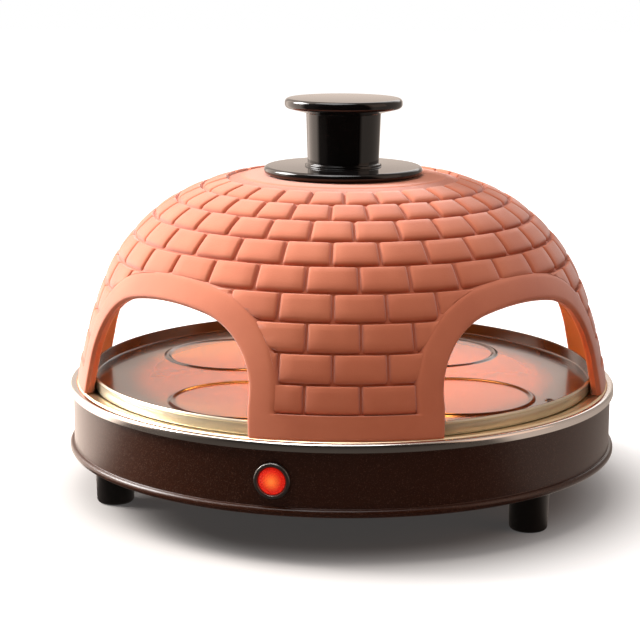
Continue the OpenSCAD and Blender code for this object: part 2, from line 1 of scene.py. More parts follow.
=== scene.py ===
"""Surfaces and finishes of a table-top pizza maker: clay dome, steel tray, baking plate, electric base.

Lengths are metres. Bearings are degrees about +Z, counted from -Y towards +X.
"""

import json
import math

import bmesh
import bpy
import numpy as np
from bpy.props import FloatProperty, FloatVectorProperty, IntVectorProperty, PointerProperty
from mathutils import Matrix, Vector


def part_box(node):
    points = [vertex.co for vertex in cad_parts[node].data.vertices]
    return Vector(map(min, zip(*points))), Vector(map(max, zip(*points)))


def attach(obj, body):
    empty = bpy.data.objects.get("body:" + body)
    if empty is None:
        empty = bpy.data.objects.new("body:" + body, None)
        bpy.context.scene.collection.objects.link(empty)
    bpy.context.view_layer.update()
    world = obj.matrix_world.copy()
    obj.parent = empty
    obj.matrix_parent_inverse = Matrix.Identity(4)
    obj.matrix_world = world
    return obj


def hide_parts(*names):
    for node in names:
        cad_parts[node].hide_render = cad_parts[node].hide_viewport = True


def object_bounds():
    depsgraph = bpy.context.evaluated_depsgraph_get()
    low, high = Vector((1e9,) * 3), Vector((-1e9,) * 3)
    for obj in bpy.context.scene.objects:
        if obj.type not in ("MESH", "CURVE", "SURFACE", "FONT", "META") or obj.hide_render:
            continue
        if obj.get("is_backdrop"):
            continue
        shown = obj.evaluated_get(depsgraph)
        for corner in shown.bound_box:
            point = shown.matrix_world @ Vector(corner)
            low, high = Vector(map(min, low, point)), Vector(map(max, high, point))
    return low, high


bl_info = {
    "name": "Table-top Pizza Maker",
    "version": (1, 0, 0),
    "blender": (4, 5, 0),
    "location": "View3D > Sidebar > Pizza Maker",
    "description": "Dresses the solids of a table-top pizza maker in modelled surfaces and finishes",
    "category": "Add Mesh",
}

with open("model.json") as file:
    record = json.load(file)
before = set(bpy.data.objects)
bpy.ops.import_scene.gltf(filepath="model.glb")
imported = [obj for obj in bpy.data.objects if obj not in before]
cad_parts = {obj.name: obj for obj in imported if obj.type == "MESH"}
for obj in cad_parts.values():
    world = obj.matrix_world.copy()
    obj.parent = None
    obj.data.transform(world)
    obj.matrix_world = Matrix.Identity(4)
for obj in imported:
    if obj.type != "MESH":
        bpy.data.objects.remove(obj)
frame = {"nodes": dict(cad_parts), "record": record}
SOLID_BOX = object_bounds()
MM = 0.001
RING_STEPS = 256
QUARTER = math.pi / 2


# ---- Places read from the solids ----

def node_box(name):
    """Lowest and highest corner of a solid at rest, as arrays."""
    low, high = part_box(name)
    return np.array(low), np.array(high)


def node_radius(name):
    """Largest reach of a solid of revolution from the axis."""
    low, high = node_box(name)
    return float(max(high[0], -low[0]))


WALL_LOW, WALL_HIGH = node_box("base_wall")
TRAY_LOW, TRAY_HIGH = node_box("steel_tray")
PLATE_LOW, PLATE_HIGH = node_box("baking_plate")
DOME_LOW, DOME_HIGH = node_box("clay_dome")
GUARD_LOW, GUARD_HIGH = node_box("knob_body")
CAP_LOW, CAP_HIGH = node_box("knob_cap")
BEZEL_LOW, BEZEL_HIGH = node_box("lamp_bezel")
LENS_LOW, LENS_HIGH = node_box("lamp_lens")


# ---- Sizes and colours that a user would change ----

def number(name, what, default, **limits):
    return FloatProperty(name=name, description=what, default=default, **limits)


def length(name, what, default, low=0.0, high=1.0):
    return number(name, what, default, min=low, max=high, unit="LENGTH", precision=5)


def angle(name, what, degrees):
    return number(name, what, math.radians(degrees), subtype="ANGLE")


def colour(name, what, default):
    return FloatVectorProperty(name=name, description=what, default=default, size=3,
                               min=0.0, max=1.0, subtype="COLOR")


class PizzaDomeSettings(bpy.types.PropertyGroup):
    """Clay dome: its curve, its mouths and its brick courses"""
    foot_radius: length("Foot radius", "Radius of the dome at its foot", 0.1753)
    clay: length("Clay", "Thickness of the clay", 0.007)
    foot_lean: angle("Foot lean", "Lean of the wall at its foot", 7.9)
    leg_lean: angle("Leg lean", "Lean where the leg curve meets the shoulder curve", 21)
    shoulder_lean: angle("Shoulder lean", "Lean where the shoulder curve meets the crown curve", 69)
    leg_curve: length("Leg curve", "Radius of the leg curve", 0.291)
    shoulder_curve: length("Shoulder curve", "Radius of the shoulder curve", 0.111)
    crown_curve: length("Crown curve", "Radius of the crown curve", 0.214)
    crown_clay: length("Crown clay", "Thickness of the clay at the crown", 0.0085)
    mouth_half: length("Mouth half width", "Half width of a mouth at its springing", 0.072)
    mouth_flare: length("Mouth flare", "Extra half width of a mouth at the foot", 0.0025)
    mouth_corner: length("Mouth corner", "Radius of a mouth's corner curves", 0.05)
    mouth_crown: length("Mouth crown", "Radius of a mouth's flat crown curve", 0.158)
    mouth_height: length("Mouth height", "Height of a mouth above the dome's foot", 0.0702)
    band: length("Band", "Width of the plain band round a mouth", 0.016)
    foot_band: length("Foot band", "Height of the plain band along the foot", 0.0148)
    joint_depth: length("Joint depth", "Depth of the joints under the plain bands", 0.0029)
    face_depth: length("Face depth", "Depth of the bricks' faces under the plain bands", 0.0009)
    joint: length("Joint", "Width of a joint between bricks", 0.0011)
    brick_counts: IntVectorProperty(
        name="Brick counts", description="Bricks round each course, from the lowest up",
        default=(32, 32, 31, 30, 29, 28, 28, 28, 26), size=9, min=12, max=48)
    first_joints: FloatVectorProperty(
        name="First joints", description="Bearing of one joint of each course, in degrees",
        default=(2.8, -2.8, 2.9, -3.2, 2.9, -4.0, 2.5, -5.5, -0.7), size=9)
    light: colour("Clay, light", "Light tone of the clay", (0.66, 0.195, 0.092))
    deep: colour("Clay, deep", "Deep tone of the clay", (0.55, 0.138, 0.060))
    # The joints' tone is painted shade: the joint grooves are darkened by their depth, as shade would fall in
    # them
    joints: colour("Painted shade in the joints", "Painted shade in the joint grooves", (0.48, 0.115, 0.048))
    # Painted shade: the inside of the dome, and the cut faces towards it, are darkened as shade falls there
    inside_shade: colour("Painted shade inside the dome", "Painted shade over the clay inside the dome", (0.24, 0.085, 0.045))


class PizzaBaseSettings(bpy.types.PropertyGroup):
    """Base: enamelled wall, steel tray, baking plate, feet and lamp"""
    sheet: length("Sheet", "Thickness of the sheet metal", 0.0012)
    roll: length("Rolled rim", "Radius of the tray's rolled rim", 0.0021)
    seat: length("Seat", "Width of the flat ring under the dome", 0.0094)
    bowl: length("Bowl", "Radius of the bowl at its mouth", 0.148)
    place: length("Baking place", "Radius of a baking place", 0.0485)
    place_reach: length("Baking place reach", "Distance of the baking places from the axis", 0.094)
    place_bearing: number("Baking place bearing", "Bearing of the first baking place", 50.0)
    eye_reach: length("Hanging hole reach", "Distance of the hanging hole from the axis", 0.148)
    lamp_bearing: number("Lamp bearing", "Bearing of the lamp", -14.0)
    enamel: colour("Wall enamel", "Enamel of the wall", (0.036, 0.0085, 0.0025))
    enamel_fleck: colour("Wall fleck", "Fleck in the enamel of the wall", (0.085, 0.036, 0.021))
    steel: colour("Steel", "Polished steel", (0.62, 0.58, 0.55))
    # Painted reflection: the flat ring's warm gold stands in for the heater's glow reflected in it
    seat_glow_reflection: colour("Seat, painted glow reflection", "Painted reflection of the glow on the flat ring under the dome", (0.90, 0.74, 0.50))
    plate: colour("Plate enamel", "Enamel of the baking plate's middle", (0.34, 0.13, 0.038))
    # Painted shade: the plate's margin and ridges are darkened where less of the heater's glow falls
    plate_margin_shade: colour("Plate margin shade", "Painted shade on the baking plate's margin and ridges", (0.045, 0.030, 0.024))
    plate_rim: colour("Plate rim", "Bare rim of the baking plate", (0.60, 0.55, 0.42))
    rubber: colour("Feet", "Rubber of the feet", (0.006, 0.0035, 0.003))
    lens: colour("Lens", "Red of the lamp's lens", (0.78, 0.035, 0.016))
    glow: colour("Glow", "Light of the lamp behind the lens", (1.0, 0.26, 0.04))
    lens_edge: colour("Lens edge", "Light of the lamp at the lens's edge", (0.42, 0.004, 0.002))


class PizzaKnobSettings(bpy.types.PropertyGroup):
    """Knob: guard disc, neck and cap"""
    guard: length("Guard", "Thickness of the guard disc", 0.0051)
    neck_foot: length("Neck foot", "Radius of the neck at its foot", 0.0232)
    neck_top: length("Neck top", "Radius of the neck at its top", 0.0244)
    cap_rim: length("Cap rim", "Thickness of the cap's rim", 0.006)
    plastic: colour("Plastic", "Black of the knob", (0.004, 0.0034, 0.0034))


class PizzaHeatSettings(bpy.types.PropertyGroup):
    """Upper heater: its glow"""
    hot: colour("Hot tube", "Colour of the glowing tube", (1.0, 0.33, 0.07))
    strength: number("Strength", "Strength of the tube's glow", 42.0, min=0.0)


class PizzaStageSettings(bpy.types.PropertyGroup):
    """Camera, floor and lights"""
    distance: length("Distance", "Distance of the camera from the middle of the rim", 1.2816, 0.1, 20)
    rise: angle("Rise", "Height of the camera above the horizon", 13.31)
    turn: number("Turn", "Bearing of the camera in degrees", -1.05)
    pan: angle("Pan", "Turn of the camera away from the middle of the rim", -0.66)
    tilt: angle("Tilt", "Tilt of the camera above the middle of the rim", 1.84)
    roll: angle("Roll", "Roll of the camera", 0.47)
    lens: number("Lens", "Focal length in mm on a 36 mm sensor", 107.55)
    key: number("Key", "Power of the key light in watts", 72.0)
    top: number("Top", "Power of the top light in watts", 27.0)
    fill: number("Fill", "Power of the fill light in watts", 4.0)
    back: number("Back", "Power of the back light in watts", 6.0)
    room: number("Room", "Strength of the light all round", 0.12)
    surround: colour("Surround", "Tint of the studio as glossy surfaces see it", (1.0, 0.84, 0.73))
    warm: colour("Warm", "Tint of the fill light and of the light all round", (1.0, 0.62, 0.44))


# ---- Surfaces worked out as arrays ----

def quads(rows, columns, closed=False):
    """Quads of a grid numbered row by row; closed joins the last column to the first."""
    row = np.arange(rows - 1)[:, None]
    column = np.arange(columns if closed else columns - 1)[None, :]
    following = (column + 1) % columns
    corners = [row * columns + column, row * columns + following,
               (row + 1) * columns + following, (row + 1) * columns + column]
    return np.stack(corners, axis=-1).reshape(-1, 4)


def soft_outline(corners, closed=False, steps=8):
    """Outline through corners (r, z, fillet): an arc tangent to both sides takes each corner's place."""
    points = np.array([corner[:2] for corner in corners], float)
    count = len(points)
    parts = []
    for i, (_, _, fillet) in enumerate(corners):
        here = points[i]
        if fillet <= 0 or (not closed and i in (0, count - 1)):
            parts.append(here[None, :])
            continue
        back = points[i - 1] - here
        ahead = points[(i + 1) % count] - here
        back = back / np.linalg.norm(back)
        ahead = ahead / np.linalg.norm(ahead)
        half = math.acos(float(np.clip(back @ ahead, -1, 1))) / 2
        middle = back + ahead
        centre = here + middle / np.linalg.norm(middle) * fillet / math.sin(half)
        start = here + back * fillet / math.tan(half) - centre
        end = here + ahead * fillet / math.tan(half) - centre
        sweep = math.pi - 2 * half
        t = np.linspace(0, 1, steps + 1)[:, None]
        parts.append(centre + (np.sin((1 - t) * sweep) * start + np.sin(t * sweep) * end) / math.sin(sweep))
    return np.vstack(parts)


def sheet_section(outline, thickness):
    """Closed section of a sheet: the outline, and the same outline moved to its left by the thickness."""
    along = np.gradient(outline, axis=0)
    along /= np.linalg.norm(along, axis=1, keepdims=True)
    normal = np.stack([-along[:, 1], along[:, 0]], axis=1)
    return np.vstack([outline, (outline + normal * thickness)[::-1]])


def revolved(section, steps=RING_STEPS, closed=True):
    """Surface of revolution: every point (r, z) of the section carried round the Z axis."""
    turn = np.arange(steps) * 2 * math.pi / steps
    section = np.vstack([section, section[:1]]) if closed else section
    r, z = section[:, 0][:, None], section[:, 1][:, None]
    points = np.stack([r * np.sin(turn), -r * np.cos(turn), z + 0 * turn], axis=-1)
    return points.reshape(-1, 3), quads(len(section), steps, closed=True)


def outward(bearing):
    """Unit vector away from the Z axis at a bearing."""
    b = math.radians(bearing)
    return np.array([math.sin(b), -math.cos(b), 0.0])


def facing(points, bearing, reach, height):
    """Points of a piece made along +Z, laid so that +Z looks outward at a bearing, at a reach and height."""
    out, side, up = outward(bearing), outward(bearing + 90), np.array([0.0, 0.0, 1.0])
    return out * reach + up * height + points @ np.stack([side, up, out])


def joined(*parts):
    """Several (points, faces) as one, each part's faces counted on from the points before it."""
    offsets = np.cumsum([0] + [len(points) for points, _ in parts[:-1]])
    points = np.vstack([points for points, _ in parts])
    faces = [list(map(int, face)) for (_, part), offset in zip(parts, offsets)
             for face in (np.asarray(part) + offset).tolist()]
    return points, faces


def make_piece(name, points, faces, body, slot, material, node=None, sharp=38.0, marks=None):
    """A finished piece from points and faces: doubles merged, faces outward, smooth but for sharp edges. It
    takes the place of a node's solid, if one is named."""
    mesh = bpy.data.meshes.new(name)
    mesh.from_pydata(np.asarray(points).tolist(), [], [list(face) for face in faces])
    for mark, values in (marks or {}).items():
        layer = mesh.attributes.new(mark, "FLOAT", "POINT")
        layer.data.foreach_set("value", np.asarray(values, np.float32))
    work = bmesh.new()
    work.from_mesh(mesh)
    bmesh.ops.remove_doubles(work, verts=work.verts, dist=1e-6)
    bmesh.ops.recalc_face_normals(work, faces=work.faces)
    work.to_mesh(mesh)
    work.free()
    mesh.polygons.foreach_set("use_smooth", np.ones(len(mesh.polygons), bool))
    mesh.set_sharp_from_angle(angle=math.radians(sharp))
    piece = bpy.data.objects.new(name, mesh)
    bpy.context.scene.collection.objects.link(piece)
    mesh.materials.append(material)
    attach(piece, body)
    if node:
        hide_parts(node)


# ---- Shader groups and materials ----

# Steepness of a fleck's edge
FLECK_EDGE = 9.0
# Bearing in degrees and level of the studio as glossy surfaces see it, as a share of its brightest card
SURROUNDINGS = ((-180, 0.33), (-156, 0.33), (-148, 0.9), (-94, 1.0), (-82, 0.06), (-60, 0.05), (-50, 0.012),
                (50, 0.012), (60, 0.26), (148, 0.14), (165, 0.33), (180, 0.33))
BRIGHTEST = 3.0
# Shader groups made so far, by name
GROUPS = {}


def feed(tree, value, socket):
    """Give a socket its value: another node's output is linked, anything else is set."""
    if isinstance(value, bpy.types.NodeSocket):
        tree.links.new(value, socket)
    else:
        socket.default_value = value


def add_node(tree, kind, *values, **settings):
    """A node with its settings. Values go to its inputs in order, and a setting named after an input goes
    to that input."""
    made = tree.nodes.new(kind)
    for name, value in settings.items():
        if hasattr(made, name):
            setattr(made, name, value)
        else:
            feed(tree, value, made.inputs[name.replace("_", " ")])
    for value, socket in zip(values, made.inputs):
        feed(tree, value, socket)
    return made


def calculate(tree, operation, *values, **settings):
    """Result of a math node."""
    return add_node(tree, "ShaderNodeMath", *values, operation=operation, **settings).outputs[0]


def mix(tree, factor, first, second):
    """Colour between two, each a plain colour or another node's output."""
    made = add_node(tree, "ShaderNodeMix", factor, data_type="RGBA")
    for value, socket in ((first, made.inputs[6]), (second, made.inputs[7])):
        feed(tree, value if isinstance(value, bpy.types.NodeSocket) else (*value, 1.0), socket)
    return made.outputs[2]


def axis_distance(tree, vector):
    """Distance of a point from the Z axis."""
    flat = add_node(tree, "ShaderNodeVectorMath", vector, (1, 1, 0), operation="MULTIPLY").outputs[0]
    return add_node(tree, "ShaderNodeVectorMath", flat, operation="LENGTH").outputs["Value"]


def new_group(name, inputs, outputs):
    """An empty shader group. Its inputs are floats with their defaults, or a vector where that is None."""
    group = bpy.data.node_groups.new(name, "ShaderNodeTree")
    for label, default in inputs.items():
        kind = "NodeSocketVector" if default is None else "NodeSocketFloat"
        made = group.interface.new_socket(name=label, in_out="INPUT", socket_type=kind)
        if default is not None:
            made.default_value = default
    for label in outputs:
        group.interface.new_socket(name=label, in_out="OUTPUT", socket_type="NodeSocketFloat")
    return group, group.nodes.new("NodeGroupInput").outputs, group.nodes.new("NodeGroupOutput").inputs


def mottle_group():
    """Cloudy variation: coarse noise with a share of fine noise. Puts out a factor and a height."""
    group, given, result = new_group(
        "Mottle", {"Vector": None, "Coarse": 40.0, "Fine": 900.0, "Contrast": 1.0}, ("Factor", "Height"))
    coarse, fine = (add_node(group, "ShaderNodeTexNoise", Vector=given["Vector"], Scale=given[label],
                             Detail=detail, Roughness=rough).outputs["Fac"]
                    for label, detail, rough in (("Coarse", 4.0, 0.55), ("Fine", 3.0, 0.6)))
    centred = calculate(group, "SUBTRACT", coarse, 0.5)
    factor = calculate(group, "MULTIPLY_ADD", centred, given["Contrast"], 0.5, use_clamp=True)
    feed(group, factor, result["Factor"])
    feed(group, fine, result["Height"])
    return group


def fleck_group():
    """Fine flecks: the tops of a fine noise. Puts out a mask."""
    group, given, result = new_group("Flecks", {"Vector": None, "Scale": 1400.0, "Threshold": 0.6}, ("Mask",))
    noise = add_node(group, "ShaderNodeTexNoise", Vector=given["Vector"], Scale=given["Scale"], Detail=1.0,
                     Roughness=0.5)
    over = calculate(group, "SUBTRACT", noise.outputs["Fac"], given["Threshold"])
    feed(group, calculate(group, "MULTIPLY", over, FLECK_EDGE, use_clamp=True), result["Mask"])
    return group


def turning_group():
    """Lathe marks round the Z axis: noise read along the radius and the height only. Puts out a factor."""
    group, given, result = new_group("Turning marks", {"Vector": None, "Scale": 1500.0}, ("Factor",))
    height = add_node(group, "ShaderNodeSeparateXYZ", given["Vector"]).outputs["Z"]
    across = add_node(group, "ShaderNodeCombineXYZ", X=axis_distance(group, given["Vector"]), Z=height)
    noise = add_node(group, "ShaderNodeTexNoise", Vector=across.outputs[0], Scale=given["Scale"], Detail=2.0)
    feed(group, noise.outputs["Fac"], result["Factor"])
    return group


def surroundings_group():
    """The studio as glossy surfaces see it: dark towards -Y, a bright card on the left, pale behind. The
    level is read from the bearing of the vector about +Z. Puts out a strength."""
    group, given, result = new_group("Surroundings", {"Vector": None}, ("Strength",))
    parts = add_node(group, "ShaderNodeSeparateXYZ", given["Vector"]).outputs
    bearing = calculate(group, "ARCTAN2", parts["X"], calculate(group, "MULTIPLY", parts["Y"], -1.0))
    ramp = add_node(group, "ShaderNodeValToRGB",
                    calculate(group, "MULTIPLY_ADD", bearing, 0.5 / math.pi, 0.5))
    stops = ramp.color_ramp.elements
    while len(stops) < len(SURROUNDINGS):
        stops.new(0.5)
    for stop, (degrees, level) in zip(stops, SURROUNDINGS):
        stop.position = degrees / 360 + 0.5
        stop.color = (level, level, level, 1)
    feed(group, calculate(group, "MULTIPLY", ramp.outputs["Color"], BRIGHTEST), result["Strength"])
    return group


def use_group(tree, name, vector, **values):
    """Outputs of the named group, read at a vector. The group is made on its first use."""
    makers = {"Mottle": mottle_group, "Flecks": fleck_group, "Turning marks": turning_group,
              "Surroundings": surroundings_group}
    if name not in GROUPS:
        GROUPS[name] = makers[name]()
    made = tree.nodes.new("ShaderNodeGroup")
    made.node_tree = GROUPS[name]
    for label, value in (("Vector", vector), *values.items()):
        feed(tree, value, made.inputs[label])
    return made.outputs


class Finish:
    """One material under construction: its Principled shader and the links into it."""

    def __init__(self, name, colour=(0.5, 0.5, 0.5), roughness=0.5, **sockets):
        self.material = bpy.data.materials.new(name)
        self.material.use_nodes = True
        self.tree = self.material.node_tree
        self.shader = self.tree.nodes["Principled BSDF"]
        self.place = self.tree.nodes.new("ShaderNodeTexCoord").outputs["Object"]
        self.set(Base_Color=(*colour, 1.0), Roughness=roughness, **sockets)

    def set(self, **sockets):
        """Link or set the shader's inputs; an underscore stands for a space."""
        for name, value in sockets.items():
            feed(self.tree, value, self.shader.inputs[name.replace("_", " ")])

    def group(self, name, **values):
        return use_group(self.tree, name, self.place, **values)

    def mix(self, factor, first, second):
        return mix(self.tree, factor, first, second)

    def spread(self, factor, low, high):
        """A value that runs from low to high with a factor."""
        return add_node(self.tree, "ShaderNodeMapRange", factor, 0.0, 1.0, low, high).outputs[0]

    def rise(self, value, start, end, first=0.0, last=1.0):
        """A value that runs smoothly from first to last while another runs from start to end."""
        return add_node(self.tree, "ShaderNodeMapRange", value, start, end, first, last,
                        interpolation_type="SMOOTHSTEP").outputs[0]

    def bump(self, height, depth, strength):
        made = add_node(self.tree, "ShaderNodeBump", Distance=depth, Strength=strength, Height=height)
        self.set(Normal=made.outputs["Normal"])

    def mark(self, name):
        return add_node(self.tree, "ShaderNodeAttribute", attribute_name=name).outputs["Fac"]


def clay_finish(dome):
    """Unglazed terracotta: two tones in clouds, painted shade in the joints and over the inside, fine grain.
    """
    clay = Finish("terracotta", Specular_IOR_Level=0.25, Sheen_Weight=0.5, Sheen_Roughness=0.55)
    clouds = clay.group("Mottle", Coarse=26.0, Fine=1500.0, Contrast=1.6)
    tone = clay.mix(clouds["Factor"], dome.deep, dome.light)
    # painted shade in the joint grooves, laid on by the joint mark
    tone = clay.mix(clay.mark("joint"), tone, dome.joints)
    # painted shade over the inside of the dome, laid on by the inside mark
    clay.set(Base_Color=clay.mix(clay.mark("inside"), tone, dome.inside_shade),
             Roughness=clay.spread(clouds["Height"], 0.80, 0.95))
    clay.bump(clouds["Height"], 0.25 * MM, 0.5)
    return clay.material


def enamel_finish(base):
    """Dark brown enamel of the wall, with a fine lighter fleck under a soft gloss."""
    enamel = Finish("wall_enamel", Specular_IOR_Level=0.28, Coat_Weight=0.08, Coat_Roughness=0.25)
    flecks = enamel.group("Flecks", Scale=1500.0, Threshold=0.58)["Mask"]
    enamel.set(Base_Color=enamel.mix(flecks, base.enamel, base.enamel_fleck),
               Roughness=enamel.spread(flecks, 0.30, 0.42))
    enamel.bump(flecks, 0.05 * MM, 0.6)
    return enamel.material


def steel_finish(name, tone, low, high, scale=1600.0):
    """Polished steel: lathe marks make its roughness run from low to high."""
    steel = Finish(name, colour=tone, Metallic=1.0)
    marks = steel.group("Turning marks", Scale=scale)["Factor"]
    steel.set(Roughness=steel.spread(marks, low, high))
    steel.bump(marks, 0.01 * MM, 0.4)
    return steel.material


def plate_finish(base, out):
    """Glossy enamel of the baking plate: brown in the middle, with painted shade darkening the margin and the
    ridges, and a bare pale rim."""
    plate = Finish("plate_enamel", Specular_IOR_Level=0.5, Coat_Weight=0.3, Coat_Roughness=0.06)
    reach = axis_distance(plate.tree, plate.place)
    # painted shade: the margin towards the plate's edge and the ridges are darkened
    tone = plate.mix(plate.rise(reach, out - 40 * MM, out - 20 * MM), base.plate, base.plate_margin_shade)
    tone = plate.mix(plate.mark("ridge"), tone, base.plate_margin_shade)
    rim = plate.rise(reach, out - 1.3 * MM, out - 0.8 * MM)
    clouds = plate.group("Mottle", Coarse=30.0, Fine=1200.0, Contrast=1.2)
    plate.set(Base_Color=plate.mix(rim, tone, base.plate_rim), Metallic=plate.spread(rim, 0.0, 0.3),
              Roughness=plate.spread(clouds["Factor"], 0.16, 0.24))
    plate.bump(clouds["Height"], 0.01 * MM, 0.3)
    return plate.material


def tray_finish(base, seat_out):
    """Polished steel of the tray: cool on the rolled rim, softer on the flat ring inside it and tinted warm
    there as a painted reflection of the heater's glow.
    """
    tray = Finish("tray_steel", Metallic=1.0)
    away = axis_distance(tray.tree, tray.place)
    inner = tray.rise(away, seat_out - 0.4 * MM, seat_out + 0.2 * MM, 1.0, 0.0)
    marks = tray.group("Turning marks", Scale=1600.0)["Factor"]
    # the flat ring's warm tint is a painted reflection of the glow
    tray.set(Base_Color=tray.mix(inner, base.steel, base.seat_glow_reflection),
             Roughness=calculate(tray.tree, "MULTIPLY_ADD", inner, 0.16, tray.spread(marks, 0.10, 0.24)))
    tray.bump(marks, 0.01 * MM, 0.4)
    return tray.material


def plastic_finish(name, tone, roughness, coat=0.0, grain=0.02 * MM):
    """Moulded plastic or rubber with a faint moulding texture."""
    plastic = Finish(name, colour=tone, Specular_IOR_Level=0.35, Coat_Weight=coat, Coat_Roughness=0.04)
    clouds = plastic.group("Mottle", Coarse=45.0, Fine=2200.0, Contrast=1.0)
    plastic.set(Roughness=plastic.spread(clouds["Factor"], roughness * 0.85, roughness * 1.2))
    plastic.bump(clouds["Height"], grain, 0.35)
    return plastic.material


def plain_finish(name, tone, roughness, metallic=0.0, contrast=1.0):
    """Plain inner piece: one tone that clouds a little, with a fine grain."""
    plain = Finish(name, roughness=roughness, Metallic=metallic)
    clouds = plain.group("Mottle", Coarse=60.0, Fine=1400.0, Contrast=contrast)
    plain.set(Base_Color=plain.mix(clouds["Factor"], [0.8 * channel for channel in tone], tone))
    plain.bump(clouds["Height"], 0.03 * MM, 0.3)
    return plain.material


def lens_finish(base):
    """Red lens with light behind its middle: the glow falls off with the distance from the lamp's axis."""
    lens = Finish("red_lens", colour=base.lens, roughness=0.12, Coat_Weight=0.3, Coat_Roughness=0.05,
                  Emission_Strength=0.75)
    lens.set(Emission_Color=lens.mix(lens.mark("glow"), base.lens_edge, base.glow))
    return lens.material


def hot_finish(heat):
    """Glowing heater tube, a little uneven along its length."""
    tube = Finish("hot_tube", colour=(0.10, 0.06, 0.05), roughness=0.6, Emission_Strength=heat.strength)
    clouds = tube.group("Mottle", Coarse=35.0, Fine=900.0, Contrast=1.2)
    tube.set(Emission_Color=tube.mix(clouds["Factor"], [0.7 * channel for channel in heat.hot], heat.hot))
    return tube.material


# ---- Dome ----

# Rows over a mouth's band: inset from its outer edge and depth under its face in mm, and share of painted
# joint shade
BAND_ROWS = ((0.15, 1.6, 0.7), (0.5, 0.85, 0.25), (1.1, 0.35, 0), (2.0, 0.08, 0), (3.2, 0, 0), (7.5, 0, 0),
             (12.3, 0, 0), (13.6, 0.12, 0), (14.3, 0.45, 0), (14.8, 1.0, 0), (15, 1.7, 0))
# Depth at which a mouth's cut face begins, and how far short of the inside it ends
CUT_DEPTH, CUT_END = 1.7 * MM, 1.2 * MM
# Drop of the crown's edge below its flat top, and radius of the hole for the knob's screw
CROWN_EDGE, SCREW_HOLE = 0.9 * MM, 4.5 * MM
# Rounding at the upper edge of the foot band, as a share of a mouth's side
BAND_EDGE = 0.028
# A brick's sides, foot and head: distances in from the edge, and how far the face has dropped there
BRICK_DROP = 2.4 * MM
SIDE_IN, SIDE_DROP = np.array([0, 0.4, 1.1, 2.2]) * MM, np.array([2.4, 1.15, 0.45, 0.1]) * MM
LOW_IN, LOW_DROP = np.array([0, 0.6, 1.5, 2.8]) * MM, np.array([2.4, 1.3, 0.6, 0.15]) * MM
HIGH_IN, HIGH_DROP = np.array([0, 0.2, 0.55, 1.2]) * MM, np.array([2.4, 0.9, 0.3, 0.06]) * MM
# Height of a brick's pillow, least depth of its face, and how far it runs under the band over a mouth
PILLOW, LEAST_DEPTH, BAND_LAP = 0.35 * MM, 0.25 * MM, 0.6 * MM
# Spread of the bricks' places, and of their lift, roll and pitch
PLACE_SPREAD = 0.35 * MM
TILT_SPREAD = np.array([0.10, 0.09, 0.09])[:, None, None, None] * MM


class DomeCurve:
    """The dome's meridian: leg, shoulder and crown arcs that run into each other. s runs up from the foot."""

    def __init__(self, dome):
        self.dome = dome
        foot = np.array([dome.foot_radius, DOME_LOW[2]])
        self.leans = np.array([dome.foot_lean, dome.leg_lean, dome.shoulder_lean])
        self.radii = np.array([dome.leg_curve, dome.shoulder_curve, dome.crown_curve])
        leg = foot - self.radii[0] * self.out(self.leans[0])
        shoulder = leg + (self.radii[0] - self.radii[1]) * self.out(self.leans[1])
        crown = shoulder + (self.radii[1] - self.radii[2]) * self.out(self.leans[2])
        self.centres = np.stack([leg, shoulder, crown])
        self.starts = np.cumsum([0.0, self.radii[0] * (self.leans[1] - self.leans[0]),
                                 self.radii[1] * (self.leans[2] - self.leans[1])])
        self.table = np.linspace(-0.01, self.starts[2] + 0.06, 6000)

    @staticmethod
    def out(lean):
        return np.stack([np.cos(lean), np.sin(lean)], axis=-1)

    def at(self, s, depth=0.0):
        """Radius and height at s, at a depth under the skin: arc centre plus (arc radius - depth) outward."""
        s = np.asarray(s, float)
        arc = np.searchsorted(self.starts[1:], s)
        lean = self.leans[arc] + (s - self.starts[arc]) / self.radii[arc]
        point = self.centres[arc] + (self.radii[arc] - depth)[..., None] * self.out(lean)
        return point[..., 0], point[..., 1]

    def s_at(self, z, depth=0.0):
        """s at which the skin at a depth reaches height z."""
        heights = self.at(self.table, depth + 0 * self.table)[1]
        return np.interp(z, heights, self.table)

    def xyz(self, bearing, s, depth):
        """Points on the skin: the meridian's radius turned to a bearing in radians."""
        bearing, s, depth = np.broadcast_arrays(bearing, s, depth)
        r, z = self.at(s, depth)
        return np.stack([r * np.sin(bearing), -r * np.cos(bearing), z], axis=-1)


